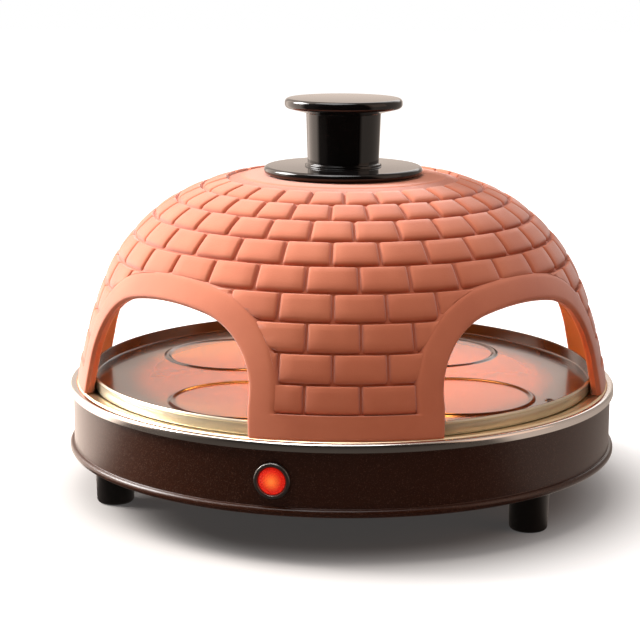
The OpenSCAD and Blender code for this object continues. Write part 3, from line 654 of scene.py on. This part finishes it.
class MouthOutline:
    """Outline of a mouth seen square on: upright side, corner arc, flat crown arc, and mirrored."""

    def __init__(self, dome):
        self.foot = DOME_LOW[2]
        self.half = dome.mouth_half
        self.flare = dome.mouth_flare
        self.corner = dome.mouth_corner
        self.crown = dome.mouth_crown
        self.corner_x = self.half - self.corner
        apex = self.foot + dome.mouth_height
        self.crown_z = apex - self.crown
        self.lap = math.asin(self.corner_x / (self.crown - self.corner))
        self.spring = self.crown_z + (self.crown - self.corner) * math.cos(self.lap)

    def half_path(self, grow, sides, corners, crowns):
        """x and z of the outline moved out by grow, for shares along side, corner and crown arc."""
        side_z = self.foot + (self.spring - self.foot) * sides
        side_x = self.half + grow + self.flare * (1 - sides)
        turn = corners * (QUARTER - self.lap)
        corner_x = self.corner_x + (self.corner + grow) * np.cos(turn)
        corner_z = self.spring + (self.corner + grow) * np.sin(turn)
        lean = self.lap * (1 - crowns)
        crown_x = (self.crown + grow) * np.sin(lean)
        crown_z = self.crown_z + (self.crown + grow) * np.cos(lean)
        return np.concatenate([side_x, corner_x, crown_x]), np.concatenate([side_z, corner_z, crown_z])

    def push_out(self, x, z, grow):
        """Points inside the outline moved by grow go to its nearest point; also says which were inside."""
        side = np.sign(x) + (x == 0)
        ax = np.abs(x)
        upright = self.half + grow + self.flare * np.clip((self.spring - z) / (self.spring - self.foot), 0, 1)
        low = z < self.spring
        under_crown = np.arctan2(ax, z - self.crown_z) < self.lap
        corner_d = np.hypot(ax - self.corner_x, z - self.spring)
        crown_d = np.hypot(ax, z - self.crown_z)

        def pick(by_side, by_crown, by_corner):
            return np.where(low, by_side, np.where(under_crown, by_crown, by_corner))

        gap = pick(upright - ax, self.crown + grow - crown_d, self.corner + grow - corner_d)
        gap = np.where(~low & ~under_crown & (ax < self.corner_x), np.maximum(gap, 1e-5), gap)
        inside = gap > 0
        corner_d = np.maximum(corner_d, 1e-9)
        new_x = pick(upright, ax * (self.crown + grow) / crown_d,
                     self.corner_x + (ax - self.corner_x) * (self.corner + grow) / corner_d)
        new_z = pick(z, self.crown_z + (z - self.crown_z) * (self.crown + grow) / crown_d,
                     self.spring + (z - self.spring) * (self.corner + grow) / corner_d)
        return np.where(inside, side * new_x, x), np.where(inside, new_z, z), inside


def dome_shell(dome, curve, mouth):
    """Closed clay shell with its four mouths, bands and foot band, and recessed joints for the bricks.

    One quarter is a grid: along the mouth's outline one way, and the other way from the joint surface at
    the leg's middle, over the band, through the cut face and back along the inside.
    """
    step = dome.foot_band / (mouth.spring - mouth.foot)
    sides = np.concatenate([[0, 0.015, 0.04], np.linspace(0.1, step - 0.05, 4),
                            step + np.array([-BAND_EDGE, -0.015, 0.0]), np.linspace(step + 0.08, 1, 4)])
    corners = np.linspace(0, 1, 25)[1:]
    crowns = np.linspace(0, 1, 9)[1:]
    path = (sides, corners, crowns)
    turn_point = len(sides) + 11
    count = len(sides) + len(corners) + len(crowns)

    def on_skin(grow, depth):
        """Bearing from the mouth's middle, and s, of the outline moved out by grow on a skin at a depth."""
        x, z = mouth.half_path(grow, *path)
        depths = depth + 0 * z
        s = curve.s_at(z, depth)
        r, _ = curve.at(s, depths)
        return np.arcsin(np.clip(x / r, -1, 1)), s

    def outer_frame(depth, top):
        """Leg's middle line up to the crown's edge, then along that edge to over the mouth's middle."""
        _, z = mouth.half_path(0, *path)
        s = curve.s_at(z, depth)
        rise = np.linspace(0, 1, turn_point - len(sides) + 1)[1:]
        s[len(sides):turn_point] = s[len(sides) - 1] + (top - s[len(sides) - 1]) * rise
        s[turn_point:] = top
        bearing = np.full(count, QUARTER / 2)
        bearing[turn_point:] = QUARTER / 2 * np.linspace(1, 0, count - turn_point + 1)[1:]
        return bearing, s

    joint_depth = dome.joint_depth
    top_out = float(curve.s_at(DOME_HIGH[2] - CROWN_EDGE, joint_depth))
    top_in = float(curve.s_at(DOME_HIGH[2] - dome.crown_clay, dome.clay))
    above_foot = np.ones(count)
    above_foot[:len(sides)] = np.clip((sides - (step - BAND_EDGE)) / BAND_EDGE, 0, 1)
    foot_round = np.zeros(count)
    foot_round[:2] = (0.8 * MM, 0.2 * MM)
    bearings, heights, depths, joints, insides = [], [], [], [], []

    def row(bearing, s, depth, joint=0.0, inside=0.0):
        bearings.append(bearing)
        heights.append(s)
        depths.append(depth)
        joints.append(joint + 0 * above_foot)
        insides.append(inside + 0 * above_foot)

    edge_b, edge_s = on_skin(dome.band, joint_depth)
    frame_b, frame_s = outer_frame(joint_depth, top_out)
    # the joint surface under the bands gets the painted joint shade; the flush foot band gets none
    for t in np.linspace(1, 0, 18):
        row(edge_b + (frame_b - edge_b) * t, edge_s + (frame_s - edge_s) * t,
            joint_depth * above_foot + foot_round, above_foot)
    for inset, depth, joint in BAND_ROWS:
        b, s = on_skin(dome.band - inset * MM, depth * MM)
        row(b, s, depth * MM * (above_foot if inset < 3 else 1) + foot_round, joint * above_foot)
    # the cut face and the inside skin carry a rising share of painted inside shade
    for t in (0.25, 0.5, 0.75, 1.0):
        depth = CUT_DEPTH + (dome.clay - CUT_DEPTH - CUT_END) * t
        b, s = on_skin(0, depth)
        row(b, s, depth + 0 * s, 0, 0.25 * t)
    for grow, depth in ((0.35, 0.5), (1.1, 0)):
        b, s = on_skin(grow * MM, dome.clay - depth * MM)
        row(b, s, dome.clay - depth * MM + 0 * s, 0, 0.6)
    frame_b, frame_s = outer_frame(dome.clay, top_in)
    for t in np.linspace(0, 1, 24)[1:]:
        row(b + (frame_b - b) * t, s + (frame_s - s) * t, dome.clay + 0 * s, 0, 1.0)

    def mirrored(rows, sign):
        rows = np.array(rows)
        return np.concatenate([rows, sign * rows[:, -2::-1]], axis=1)

    bearing = mirrored(bearings, -1)
    s, depth, joint, inside = (mirrored(rows, 1) for rows in (heights, depths, joints, insides))
    rows, columns = bearing.shape
    grid = quads(rows, columns)
    sole = np.arange(rows // 2)
    # joint mark: each point's share of painted shade in the joints; inside mark: its share of painted shade
    # inside the dome
    parts, marks = [], {"joint": [], "inside": []}
    for quarter in range(4):
        middle = QUARTER / 2 + quarter * QUARTER
        points = curve.xyz(middle + bearing, s, depth).reshape(-1, 3)
        faces = [grid]
        for column in (0, columns - 1):
            first, last = sole * columns + column, (rows - 1 - sole) * columns + column
            faces.append(np.stack([first[:-1], first[1:], last[1:], last[:-1]], axis=1))
        parts.append((points, np.vstack(faces)))
        marks["joint"].append(joint.ravel())
        marks["inside"].append(inside.ravel())

    # crown: from the joint surface's edge over the ledge, down the screw hole, and out along the inside
    edge = bearing[0, turn_point - 1:columns - turn_point + 1]
    around = np.concatenate([QUARTER / 2 + quarter * QUARTER + edge[::-1][:-1] for quarter in range(4)])
    r_out, z_out = curve.at(np.array([top_out]), np.array([joint_depth]))
    r_in, z_in = curve.at(np.array([top_in]), np.array([dome.clay]))
    top = DOME_HIGH[2]
    ledge = np.array([[r_out[0], z_out[0]], [r_out[0] - 0.5 * MM, top - CROWN_EDGE],
                      [r_out[0] - 1.2 * MM, top - 0.35 * MM], [r_out[0] - 2.4 * MM, top - 0.08 * MM],
                      [r_out[0] - 4 * MM, top], [60 * MM, top], [52 * MM, top], [30 * MM, top],
                      [SCREW_HOLE, top], [SCREW_HOLE, z_in[0]], [30 * MM, z_in[0]], [r_in[0], z_in[0]]])
    r, z = ledge[:, 0][:, None], ledge[:, 1][:, None]
    cap = np.stack([r * np.sin(around), -r * np.cos(around), z + 0 * around], axis=-1)
    parts.append((cap.reshape(-1, 3), quads(len(ledge), len(around), closed=True)))
    # painted shade: the ledge's dropping edge is darkened like a joint
    marks["joint"].append(np.repeat([0.5, 0.2, 0] + [0] * 9, len(around)))
    # painted shade: the crown's underside is darkened as inside
    marks["inside"].append(np.repeat([0] * 9 + [1] * 3, len(around)))
    points, faces = joined(*parts)
    return points, faces, {name: np.concatenate(values) for name, values in marks.items()}


def brick_rows(dome, curve, mouth):
    """Pillowed bricks standing in the joints. Each is a grid whose edges drop off in a soft curve; where
    one meets a mouth's band, its points are pushed out to the band's outline."""
    shares = np.array([0.25, 0.5, 0.75])
    rng = np.random.default_rng(11)
    top = float(curve.s_at(DOME_HIGH[2] - CROWN_EDGE, dome.face_depth))
    lines = np.linspace(dome.foot_band, top, len(dome.brick_counts) + 1)
    parts, marks = [], []
    for course, (count, first) in enumerate(zip(dome.brick_counts, dome.first_joints)):
        low = lines[course] + dome.joint / 2
        high = lines[course + 1] - dome.joint / 2
        r_mid = float(curve.at(np.array([(low + high) / 2]), np.array([0.0]))[0][0])
        starts = math.radians(first) + np.arange(count) * 2 * math.pi / count
        starts = starts + rng.normal(0, PLACE_SPREAD, count) / r_mid
        ends = np.roll(starts, -1)
        ends[-1] += 2 * math.pi
        left = (starts + dome.joint / 2 / r_mid)[:, None]
        right = (ends - dome.joint / 2 / r_mid)[:, None]
        inner = SIDE_IN[-1] / r_mid
        across = np.concatenate([left + SIDE_IN / r_mid, left + inner + (right - left - 2 * inner) * shares,
                                 right - SIDE_IN[::-1] / r_mid], axis=1)
        across_drop = np.concatenate([SIDE_DROP, 0 * shares, SIDE_DROP[::-1]])
        span = high - low - LOW_IN[-1] - HIGH_IN[-1]
        up = np.concatenate([low + LOW_IN, low + LOW_IN[-1] + span * shares, high - HIGH_IN[::-1]])
        up_drop = np.concatenate([LOW_DROP, 0 * shares, HIGH_DROP[::-1]])
        columns, rows = across.shape[1], len(up)
        drop = np.minimum(across_drop[None, :] + up_drop[:, None], BRICK_DROP)
        u = np.linspace(-1, 1, columns)[None, :]
        v = np.linspace(-1, 1, rows)[:, None]
        pillow = PILLOW * (1 - u * u) * (1 - v * v)
        lift, roll, pitch = rng.normal(0, 1, (3, count, 1, 1)) * TILT_SPREAD
        depth = dome.face_depth + drop - pillow + lift + roll * u + pitch * v
        depth = np.maximum(depth, LEAST_DEPTH)
        bearing = np.broadcast_to(across[:, None, :], depth.shape)
        s = np.broadcast_to(up[None, :, None], depth.shape)
        r, z = curve.at(s, depth)
        middle = QUARTER / 2 + np.floor(bearing / QUARTER) * QUARTER
        x, z, inside = mouth.push_out(r * np.sin(bearing - middle), z, dome.band - BAND_LAP)
        s = np.where(inside, curve.s_at(z, dome.face_depth), s)
        r, z = curve.at(s, depth)
        bearing = np.where(inside, middle + np.arcsin(np.clip(x / r, -1, 1)), bearing)
        keep = ~inside.all(axis=(1, 2))
        points = curve.xyz(bearing, s, depth)[keep]
        grid = quads(rows, columns)
        loop = np.concatenate([np.arange(columns), np.arange(1, rows) * columns + columns - 1,
                               (rows - 1) * columns + np.arange(columns - 2, -1, -1),
                               np.arange(rows - 2, 0, -1) * columns])[::-1]
        for brick in points:
            parts.append((brick.reshape(-1, 3), grid))
            parts.append((brick.reshape(-1, 3)[loop], np.arange(len(loop))[None, :]))
        # painted shade in the joints: a brick grows darker where its edge drops deeper into the joint
        mark = np.clip((drop - 0.25 * MM) / (1.6 * MM), 0, 1).ravel()
        marks.extend([mark, mark[loop]] * len(points))
    points, faces = joined(*parts)
    joint = np.concatenate(marks)
    return points, faces, {"joint": joint, "inside": 0 * joint}


class OBJECT_OT_pizza_dome(bpy.types.Operator):
    """Model the clay dome with its mouths, bands and bricks"""
    bl_idname = "pizza_maker.dome"
    bl_label = "Clay Dome"

    def execute(self, context):
        dome = context.scene.pizza_dome
        curve, mouth = DomeCurve(dome), MouthOutline(dome)
        clay = clay_finish(dome)
        points, faces, marks = dome_shell(dome, curve, mouth)
        make_piece("dome_shell", points, faces, "dome", "clay", clay, "clay_dome", sharp=50, marks=marks)
        points, faces, marks = brick_rows(dome, curve, mouth)
        make_piece("dome_bricks", points, faces, "dome", "clay", clay, sharp=70, marks=marks)
        return {"FINISHED"}


# ---- Knob ----

class OBJECT_OT_pizza_knob(bpy.types.Operator):
    """Model the knob: guard disc, neck and cap"""
    bl_idname = "pizza_maker.knob"
    bl_label = "Knob"

    def execute(self, context):
        knob = context.scene.pizza_knob
        plastic = plastic_finish("knob_plastic", knob.plastic, 0.07, coat=0.05, grain=0.006 * MM)
        guard_r, cap_r = node_radius("knob_body"), node_radius("knob_cap")
        low, neck_top, top = GUARD_LOW[2], GUARD_HIGH[2], CAP_HIGH[2]
        guard_top = low + knob.guard
        bead_r, bead_top = knob.neck_foot + 1.9 * MM, guard_top + 1.8 * MM
        hole, hollow, hollow_floor = 3.3 * MM, 15.3 * MM, guard_top + 4 * MM
        body = soft_outline([
            (hole, low, 0), (guard_r, low, 2.2 * MM), (guard_r, guard_top, 2.6 * MM),
            (bead_r, guard_top, 0.5 * MM), (bead_r, bead_top, 0.85 * MM),
            (knob.neck_foot + 0.15 * MM, bead_top, 0.5 * MM), (knob.neck_top, neck_top, 0),
            (hollow, neck_top, 0), (hollow, hollow_floor, 0), (hole, hollow_floor, 0)], steps=14)
        make_piece("knob_grip", *revolved(body), "dome", "black_plastic", plastic, "knob_body")
        plug, groove = 15.2 * MM, knob.neck_top + 0.6 * MM
        cap = soft_outline([
            (0, CAP_LOW[2], 0), (plug, CAP_LOW[2], 0), (plug, neck_top, 0), (groove, neck_top, 0),
            (groove + 0.2 * MM, neck_top + 0.3 * MM, 0), (cap_r, top - knob.cap_rim, 2.7 * MM),
            (cap_r, top, 2.7 * MM), (0, top, 0)], steps=12)
        make_piece("knob_lid", *revolved(cap, closed=False), "dome", "black_plastic", plastic, "knob_cap")
        return {"FINISHED"}


# ---- Base ----

class OBJECT_OT_pizza_wall(bpy.types.Operator):
    """Model the enamelled wall of the base with its bead"""
    bl_idname = "pizza_maker.wall"
    bl_label = "Base Wall"

    def execute(self, context):
        base = context.scene.pizza_base
        out, bead = node_radius("base_wall"), 2.4 * MM
        low, high = WALL_LOW[2], WALL_HIGH[2]
        wall, flange = out - bead - 0.4 * MM, 169 * MM
        inside, bead_in = wall - base.sheet, wall - 1.4 * MM
        under, over = low + bead - 0.6 * MM, low + bead + 0.6 * MM
        section = soft_outline([
            (wall, high, 0), (wall, low + 2 * bead + 0.15 * MM, 0.5 * MM), (out, low + 2 * bead, bead * 0.98),
            (out, low, bead * 0.98), (bead_in, low, bead * 0.9), (bead_in, under, 0.3 * MM),
            (flange, under, 0), (flange, over, 0), (inside, over, 0), (inside, high, 0)], closed=True)
        make_piece("wall_shell", *revolved(section), "base", "base_lacquer", enamel_finish(base), "base_wall")
        return {"FINISHED"}


class OBJECT_OT_pizza_tray(bpy.types.Operator):
    """Model the steel tray: rolled rim, flat ring, ledge and bowl"""
    bl_idname = "pizza_maker.tray"
    bl_label = "Steel Tray"

    def execute(self, context):
        base = context.scene.pizza_base
        out, top = node_radius("steel_tray"), TRAY_HIGH[2]
        seat_z = top - 0.5 * MM
        ledge_z = seat_z - 1 * MM
        floor_z = TRAY_LOW[2] + base.sheet
        roll_in = out - 2 * base.roll
        seat_in = roll_in + base.sheet - base.seat
        hole = 18 * MM
        upper = soft_outline([
            (out, WALL_HIGH[2] - base.roll, 0), (out, top, base.roll),
            (roll_in - 0.2 * MM, top, base.roll * 0.95), (roll_in - 0.6 * MM, seat_z, 0.5 * MM),
            (seat_in, seat_z, 0.5 * MM), (seat_in - 0.3 * MM, ledge_z, 0.3 * MM),
            (base.bowl, ledge_z, 1.6 * MM), (base.bowl - 8 * MM, floor_z, 5 * MM), (hole, floor_z, 0)])
        make_piece("tray_shell", *revolved(sheet_section(upper, base.sheet)), "base", "polished_steel",
                   tray_finish(base, roll_in), "steel_tray", sharp=30)
        return {"FINISHED"}


class OBJECT_OT_pizza_plate(bpy.types.Operator):
    """Model the baking plate with its edge, its baking places and its hanging hole"""
    bl_idname = "pizza_maker.plate"
    bl_label = "Baking Plate"

    def execute(self, context):
        base = context.scene.pizza_base
        out, hole = node_radius("baking_plate"), 17 * MM
        low, top = PLATE_LOW[2], PLATE_HIGH[2]
        floor, skirt = low + base.sheet, out - 0.4 * MM
        plate = revolved(soft_outline([
            (hole, floor, 0.4 * MM), (out - 1.6 * MM, floor, 1.4 * MM),
            (out - 1.9 * MM, top - 0.1 * MM, 0.5 * MM), (out - 0.9 * MM, top, 0.9 * MM),
            (out, top - 1.1 * MM, 0.9 * MM), (skirt, top - 2.1 * MM, 0.3 * MM), (skirt, low, 1.6 * MM),
            (hole, low, 0.4 * MM)], closed=True))
        # each baking place: a low ridge, whose height falls off as a squared cosine across its width
        ridge_half, ridge_height, ridge_root = 2.6 * MM, 1.05 * MM, -0.5 * MM
        across = np.append(np.linspace(-1, 1, 15), [1, -1])
        height = ridge_height * np.cos(across * QUARTER) ** 2
        height[-2:] = ridge_root
        ridge = np.stack([base.place + ridge_half * across, floor + height], axis=1)
        points, faces = revolved(ridge, steps=128)
        places = [(points + outward(base.place_bearing + 90 * place) * base.place_reach, faces)
                  for place in range(4)]
        # ridge mark: where the ridges get the painted shade
        ridges = np.concatenate([np.zeros(len(plate[0])), np.ones(4 * len(points))])
        finish = plate_finish(base, out)
        make_piece("plate_shell", *joined(plate, *places), "plate", "baking_enamel", finish, "baking_plate",
                   marks={"ridge": ridges})
        bore, rim, thick = 1.9 * MM, 3.1 * MM, 0.55 * MM
        section = soft_outline([(bore, 0, 0), (rim, 0, 0), (rim, thick, 0.4 * MM), (bore, thick, 0.3 * MM)],
                               closed=True)
        points, faces = revolved(section, steps=48)
        eye = outward(base.place_bearing + 12) * base.eye_reach + [0, 0, floor - 0.1 * MM]
        make_piece("plate_eyelet", points + eye, faces, "plate", "baking_enamel", finish)
        return {"FINISHED"}


class OBJECT_OT_pizza_feet(bpy.types.Operator):
    """Model the three rubber feet"""
    bl_idname = "pizza_maker.feet"
    bl_label = "Feet"

    def execute(self, context):
        rubber = plastic_finish("foot_rubber", context.scene.pizza_base.rubber, 0.42)
        for name in ("foot_left", "foot_right", "foot_rear"):
            low, high = node_box(name)
            r, top = (high[0] - low[0]) / 2, high[2]
            section = soft_outline([(0, 0, 0), (r - 1.1 * MM, 0, 2.6 * MM), (r, top - 0.2 * MM, 0.2 * MM),
                                    (0, top, 0)], steps=12)
            points, faces = revolved(section, steps=96, closed=False)
            make_piece(name + "_rubber", points + (low + high) / 2 * [1, 1, 0], faces, "base", "foot_rubber",
                       rubber, name)
        return {"FINISHED"}


class OBJECT_OT_pizza_lamp(bpy.types.Operator):
    """Model the lamp: bezel and faceted lens"""
    bl_idname = "pizza_maker.lamp"
    bl_label = "Lamp"

    def execute(self, context):
        base = context.scene.pizza_base
        height = float(BEZEL_LOW[2] + BEZEL_HIGH[2]) / 2
        bezel_r = float(BEZEL_HIGH[2] - BEZEL_LOW[2]) / 2
        lens_r = float(LENS_HIGH[2] - LENS_LOW[2]) / 2
        place = (base.lamp_bearing, node_radius("base_wall") - 2.8 * MM, height)
        proud, depth, skirt = 2.6 * MM, -14 * MM, [0, 0, -4 * MM]
        bore, tube = lens_r + 0.15 * MM, lens_r + 1.3 * MM
        points, faces = revolved(soft_outline([
            (bezel_r, 0, 0), (bezel_r, proud, 1.1 * MM), (lens_r + 0.9 * MM, proud, 0.5 * MM),
            (bore, proud - 1.1 * MM, 0.2 * MM), (bore, depth, 0), (tube, depth, 0), (tube, 0, 0)],
            closed=True), steps=96)
        metal = steel_finish("bezel_metal", (0.20, 0.19, 0.18), 0.32, 0.45, scale=900.0)
        make_piece("lamp_ring", facing(points, *place), faces, "base", "dull_metal", metal, "lamp_bezel")
        # lens: shallow cap on polar rings; pyramids in two slanted rows stand on it
        rings, spokes, pitch, bulge, relief = 36, 112, 2.1 * MM, 1.5 * MM, 0.7 * MM
        r = np.linspace(0, 1, rings)[:, None] * lens_r
        turn = np.arange(spokes)[None, :] * 2 * math.pi / spokes
        x, y = r * np.cos(turn), r * np.sin(turn)
        facets = np.minimum(np.abs((x + y) / pitch % 1 - 0.5), np.abs((x - y) / pitch % 1 - 0.5))
        fade = np.clip((lens_r - r) / (1.2 * MM), 0, 1)
        z = proud - 0.9 * MM + bulge * (1 - (r / lens_r) ** 2) + relief * facets * fade
        cap = np.stack([x, y, z], axis=-1).reshape(-1, 3)
        points = np.vstack([cap, cap[-spokes:] * [1, 1, 0] + skirt, cap[-spokes:] * 0 + skirt])
        glow = np.clip(1.15 - np.hypot(points[:, 0], points[:, 1]) / lens_r * 1.5, 0, 1) ** 1.3
        make_piece("lamp_glass", facing(points, *place), quads(rings + 2, spokes, closed=True), "base",
                   "red_lens", lens_finish(base), "lamp_lens", sharp=12, marks={"glow": glow})
        return {"FINISHED"}


# ---- Inner pieces ----

class OBJECT_OT_pizza_inside(bpy.types.Operator):
    """Give the heaters and all inner solids their finishes"""
    bl_idname = "pizza_maker.inside"
    bl_label = "Inner Pieces"

    def execute(self, context):
        base = context.scene.pizza_base
        finishes = {
            "plain_steel": steel_finish("inner_steel", (0.50, 0.50, 0.51), 0.22, 0.40, scale=700.0),
            "polished_steel": steel_finish("reflector_steel", base.steel, 0.10, 0.22),
            "heater_metal": plain_finish("lower_tube", (0.09, 0.09, 0.095), 0.5, metallic=0.8),
            "socket_ceramic": plain_finish("white_ceramic", (0.80, 0.77, 0.70), 0.35),
            "contact_brass": plain_finish("brass", (0.70, 0.50, 0.18), 0.3, metallic=1.0),
            "cream_plastic": plain_finish("cream_plastic", (0.80, 0.78, 0.70), 0.5),
            "dark_plastic": plain_finish("dark_plastic", (0.02, 0.02, 0.02), 0.45),
            "wire_sleeve": plain_finish("woven_sleeve", (0.75, 0.72, 0.65), 0.9, contrast=2.0),
            "wire_red": plain_finish("lead_insulation", (0.45, 0.05, 0.03), 0.4),
            "heat_seal": plain_finish("fibre_seal", (0.12, 0.11, 0.10), 0.95, contrast=2.0),
            "lamp_glow": plain_finish("lamp_bulb_glass", (1.0, 0.45, 0.12), 0.2),
            "base_lacquer": plain_finish("floor_enamel", base.enamel, 0.4),
        }
        hot = hot_finish(context.scene.pizza_heat)
        slots = {part["node"]: part["material_slot"] for part in frame["record"]["subparts"]}
        for name, node in frame["nodes"].items():
            if node.hide_render:
                continue
            node.data.materials.clear()
            node.data.materials.append(hot if name == "upper_heater" else finishes[slots[name]])
        return {"FINISHED"}


# ---- Stage ----

# Distances from the axis over which the floor's painted shadow round the object rises to white, and the cards
# on it fade in glossy surfaces
FLOOR_SHADOW_FADE = (0.14, 0.28)
CARDS_FADE = (0.45, 0.85)


class OBJECT_OT_pizza_stage(bpy.types.Operator):
    """Set the camera, the pale floor and the soft lights"""
    bl_idname = "pizza_maker.stage"
    bl_label = "Stage"

    def execute(self, context):
        stage = context.scene.pizza_stage
        self.camera(context, stage)
        self.floor(context, stage)
        self.lights(context, stage)
        self.room(context, stage)
        return {"FINISHED"}

    def camera(self, context, stage):
        """Camera on a line from the middle of the rim, panned, tilted and rolled a little away from it."""
        def turned(first, second, by):
            return first * math.cos(by) + second * math.sin(by), second * math.cos(by) - first * math.sin(by)

        b, rise = math.radians(stage.turn), stage.rise
        rim = Vector((0, 0, WALL_HIGH[2] - context.scene.pizza_base.roll))
        line = Vector((math.sin(b) * math.cos(rise), -math.cos(b) * math.cos(rise), math.sin(rise)))
        right = (-line).cross(Vector((0, 0, 1))).normalized()
        up = right.cross(-line)
        ahead, right = turned(-line, right, stage.pan)
        ahead, up = turned(ahead, up, stage.tilt)
        right, up = turned(right, up, stage.roll)
        data = bpy.data.cameras.new("camera")
        data.sensor_width = 36
        data.lens = stage.lens
        data.clip_start = 0.05
        camera = bpy.data.objects.new("camera", data)
        camera.matrix_world = Matrix.Translation(rim + line * stage.distance) @ Matrix(
            (right, up, -ahead)).transposed().to_4x4()
        context.scene.collection.objects.link(camera)
        context.scene.camera = camera

    def floor(self, context, stage):
        """Pale floor. The camera sees a painted shadow round the object that rises to white away from it, and
        glossy surfaces see the studio's cards on it."""
        half = 6.0
        mesh = bpy.data.meshes.new("floor")
        mesh.from_pydata([(-half, -half, 0), (half, -half, 0), (half, half, 0), (-half, half, 0)], [],
                         [(0, 1, 2, 3)])
        floor = bpy.data.objects.new("floor", mesh)
        context.scene.collection.objects.link(floor)
        pale = Finish("pale_floor", colour=(0.40, 0.37, 0.35), roughness=0.9, Specular_IOR_Level=0.0,
                      Emission_Color=(1, 1, 1, 1))
        tree = pale.tree
        away = add_node(tree, "ShaderNodeVectorMath", pale.place, operation="LENGTH").outputs["Value"]
        seen = add_node(tree, "ShaderNodeLightPath").outputs
        # painted shadow: near the object the camera sees the dim floor, away from it a painted white
        white = pale.rise(away, *FLOOR_SHADOW_FADE, 0.04, 1.0)
        pale.set(Emission_Strength=calculate(tree, "MULTIPLY", white, seen["Is Camera Ray"]))
        near = pale.rise(away, *CARDS_FADE, 0.10, 0.0)
        level = calculate(tree, "MAXIMUM", pale.group("Surroundings")["Strength"], near)
        cards = add_node(tree, "ShaderNodeEmission", (*stage.surround, 1), level)
        either = add_node(tree, "ShaderNodeMixShader", seen["Is Glossy Ray"], pale.shader.outputs[0],
                          cards.outputs[0])
        feed(tree, either.outputs[0], tree.nodes["Material Output"].inputs["Surface"])
        mesh.materials.append(pale.material)
        floor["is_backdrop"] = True

    def lights(self, context, stage):
        """A strong soft key on the left, a soft light overhead, and weak ones right and behind."""
        for name, power, size, place in (("key", stage.key, 0.9, (-1.45, 0.45, 1.15)),
                                         ("top", stage.top, 1.2, (-0.30, -0.20, 1.90)),
                                         ("fill", stage.fill, 1.4, (1.60, -0.60, 0.80)),
                                         ("back", stage.back, 1.2, (0.60, 1.50, 1.20))):
            data = bpy.data.lights.new(name, "AREA")
            data.energy = power
            data.size = size
            if name == "fill":
                data.color = stage.warm
            light = bpy.data.objects.new(name, data)
            light.location = place
            light.rotation_euler = (Vector((0, 0, 0.12)) - light.location).to_track_quat("-Z", "Y").to_euler()
            context.scene.collection.objects.link(light)

    def room(self, context, stage):
        """A dim warm room that the camera sees as white, and the studio's cards for glossy surfaces."""
        world = bpy.data.worlds.new("room")
        context.scene.world = world
        world.use_nodes = True
        tree = world.node_tree
        seen = add_node(tree, "ShaderNodeLightPath").outputs
        camera = seen["Is Camera Ray"]
        plain_room, output = tree.nodes["Background"], tree.nodes["World Output"]
        level = add_node(tree, "ShaderNodeMapRange", camera, 0.0, 1.0, stage.room, 1.0).outputs[0]
        feed(tree, level, plain_room.inputs["Strength"])
        feed(tree, mix(tree, camera, stage.warm, (1, 1, 1)), plain_room.inputs["Color"])
        direction = add_node(tree, "ShaderNodeTexCoord").outputs["Generated"]
        around = use_group(tree, "Surroundings", direction)["Strength"]
        cards = add_node(tree, "ShaderNodeBackground", (*stage.surround, 1), around)
        either = add_node(tree, "ShaderNodeMixShader", seen["Is Glossy Ray"], plain_room.outputs[0],
                          cards.outputs[0])
        feed(tree, either.outputs[0], output.inputs["Surface"])
        context.scene.view_settings.view_transform = "Standard"


# ---- Add-on ----

STEPS = (
    OBJECT_OT_pizza_stage,
    OBJECT_OT_pizza_dome,
    OBJECT_OT_pizza_knob,
    OBJECT_OT_pizza_wall,
    OBJECT_OT_pizza_tray,
    OBJECT_OT_pizza_plate,
    OBJECT_OT_pizza_feet,
    OBJECT_OT_pizza_lamp,
    OBJECT_OT_pizza_inside,
)
SETTINGS = {
    "pizza_dome": PizzaDomeSettings,
    "pizza_base": PizzaBaseSettings,
    "pizza_knob": PizzaKnobSettings,
    "pizza_heat": PizzaHeatSettings,
    "pizza_stage": PizzaStageSettings,
}


class VIEW3D_PT_pizza_maker(bpy.types.Panel):
    """Sidebar panel that lists the pieces"""
    bl_idname = "VIEW3D_PT_pizza_maker"
    bl_label = "Pizza Maker"
    bl_space_type = "VIEW_3D"
    bl_region_type = "UI"
    bl_category = "Pizza Maker"

    def draw(self, context):
        for step in STEPS:
            self.layout.operator(step.bl_idname)
        for name, settings in SETTINGS.items():
            box = self.layout.box()
            box.label(text=settings.__doc__)
            for prop in settings.__annotations__:
                box.prop(getattr(context.scene, name), prop)


def register():
    for made in (*SETTINGS.values(), *STEPS, VIEW3D_PT_pizza_maker):
        bpy.utils.register_class(made)
    for name, settings in SETTINGS.items():
        setattr(bpy.types.Scene, name, PointerProperty(type=settings))


def unregister():
    for name in SETTINGS:
        delattr(bpy.types.Scene, name)
    for made in (VIEW3D_PT_pizza_maker, *reversed(STEPS), *reversed(SETTINGS.values())):
        bpy.utils.unregister_class(made)


def plain(box):
    """A box's corners as lists of numbers."""
    return [[float(value) for value in corner] for corner in box]


def main():
    register()
    for step in STEPS:
        getattr(bpy.ops.pizza_maker, step.bl_idname.split(".")[1])()
    {"solids": plain(SOLID_BOX), "dressed": plain(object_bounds())}


if __name__ == "__main__":
    main()
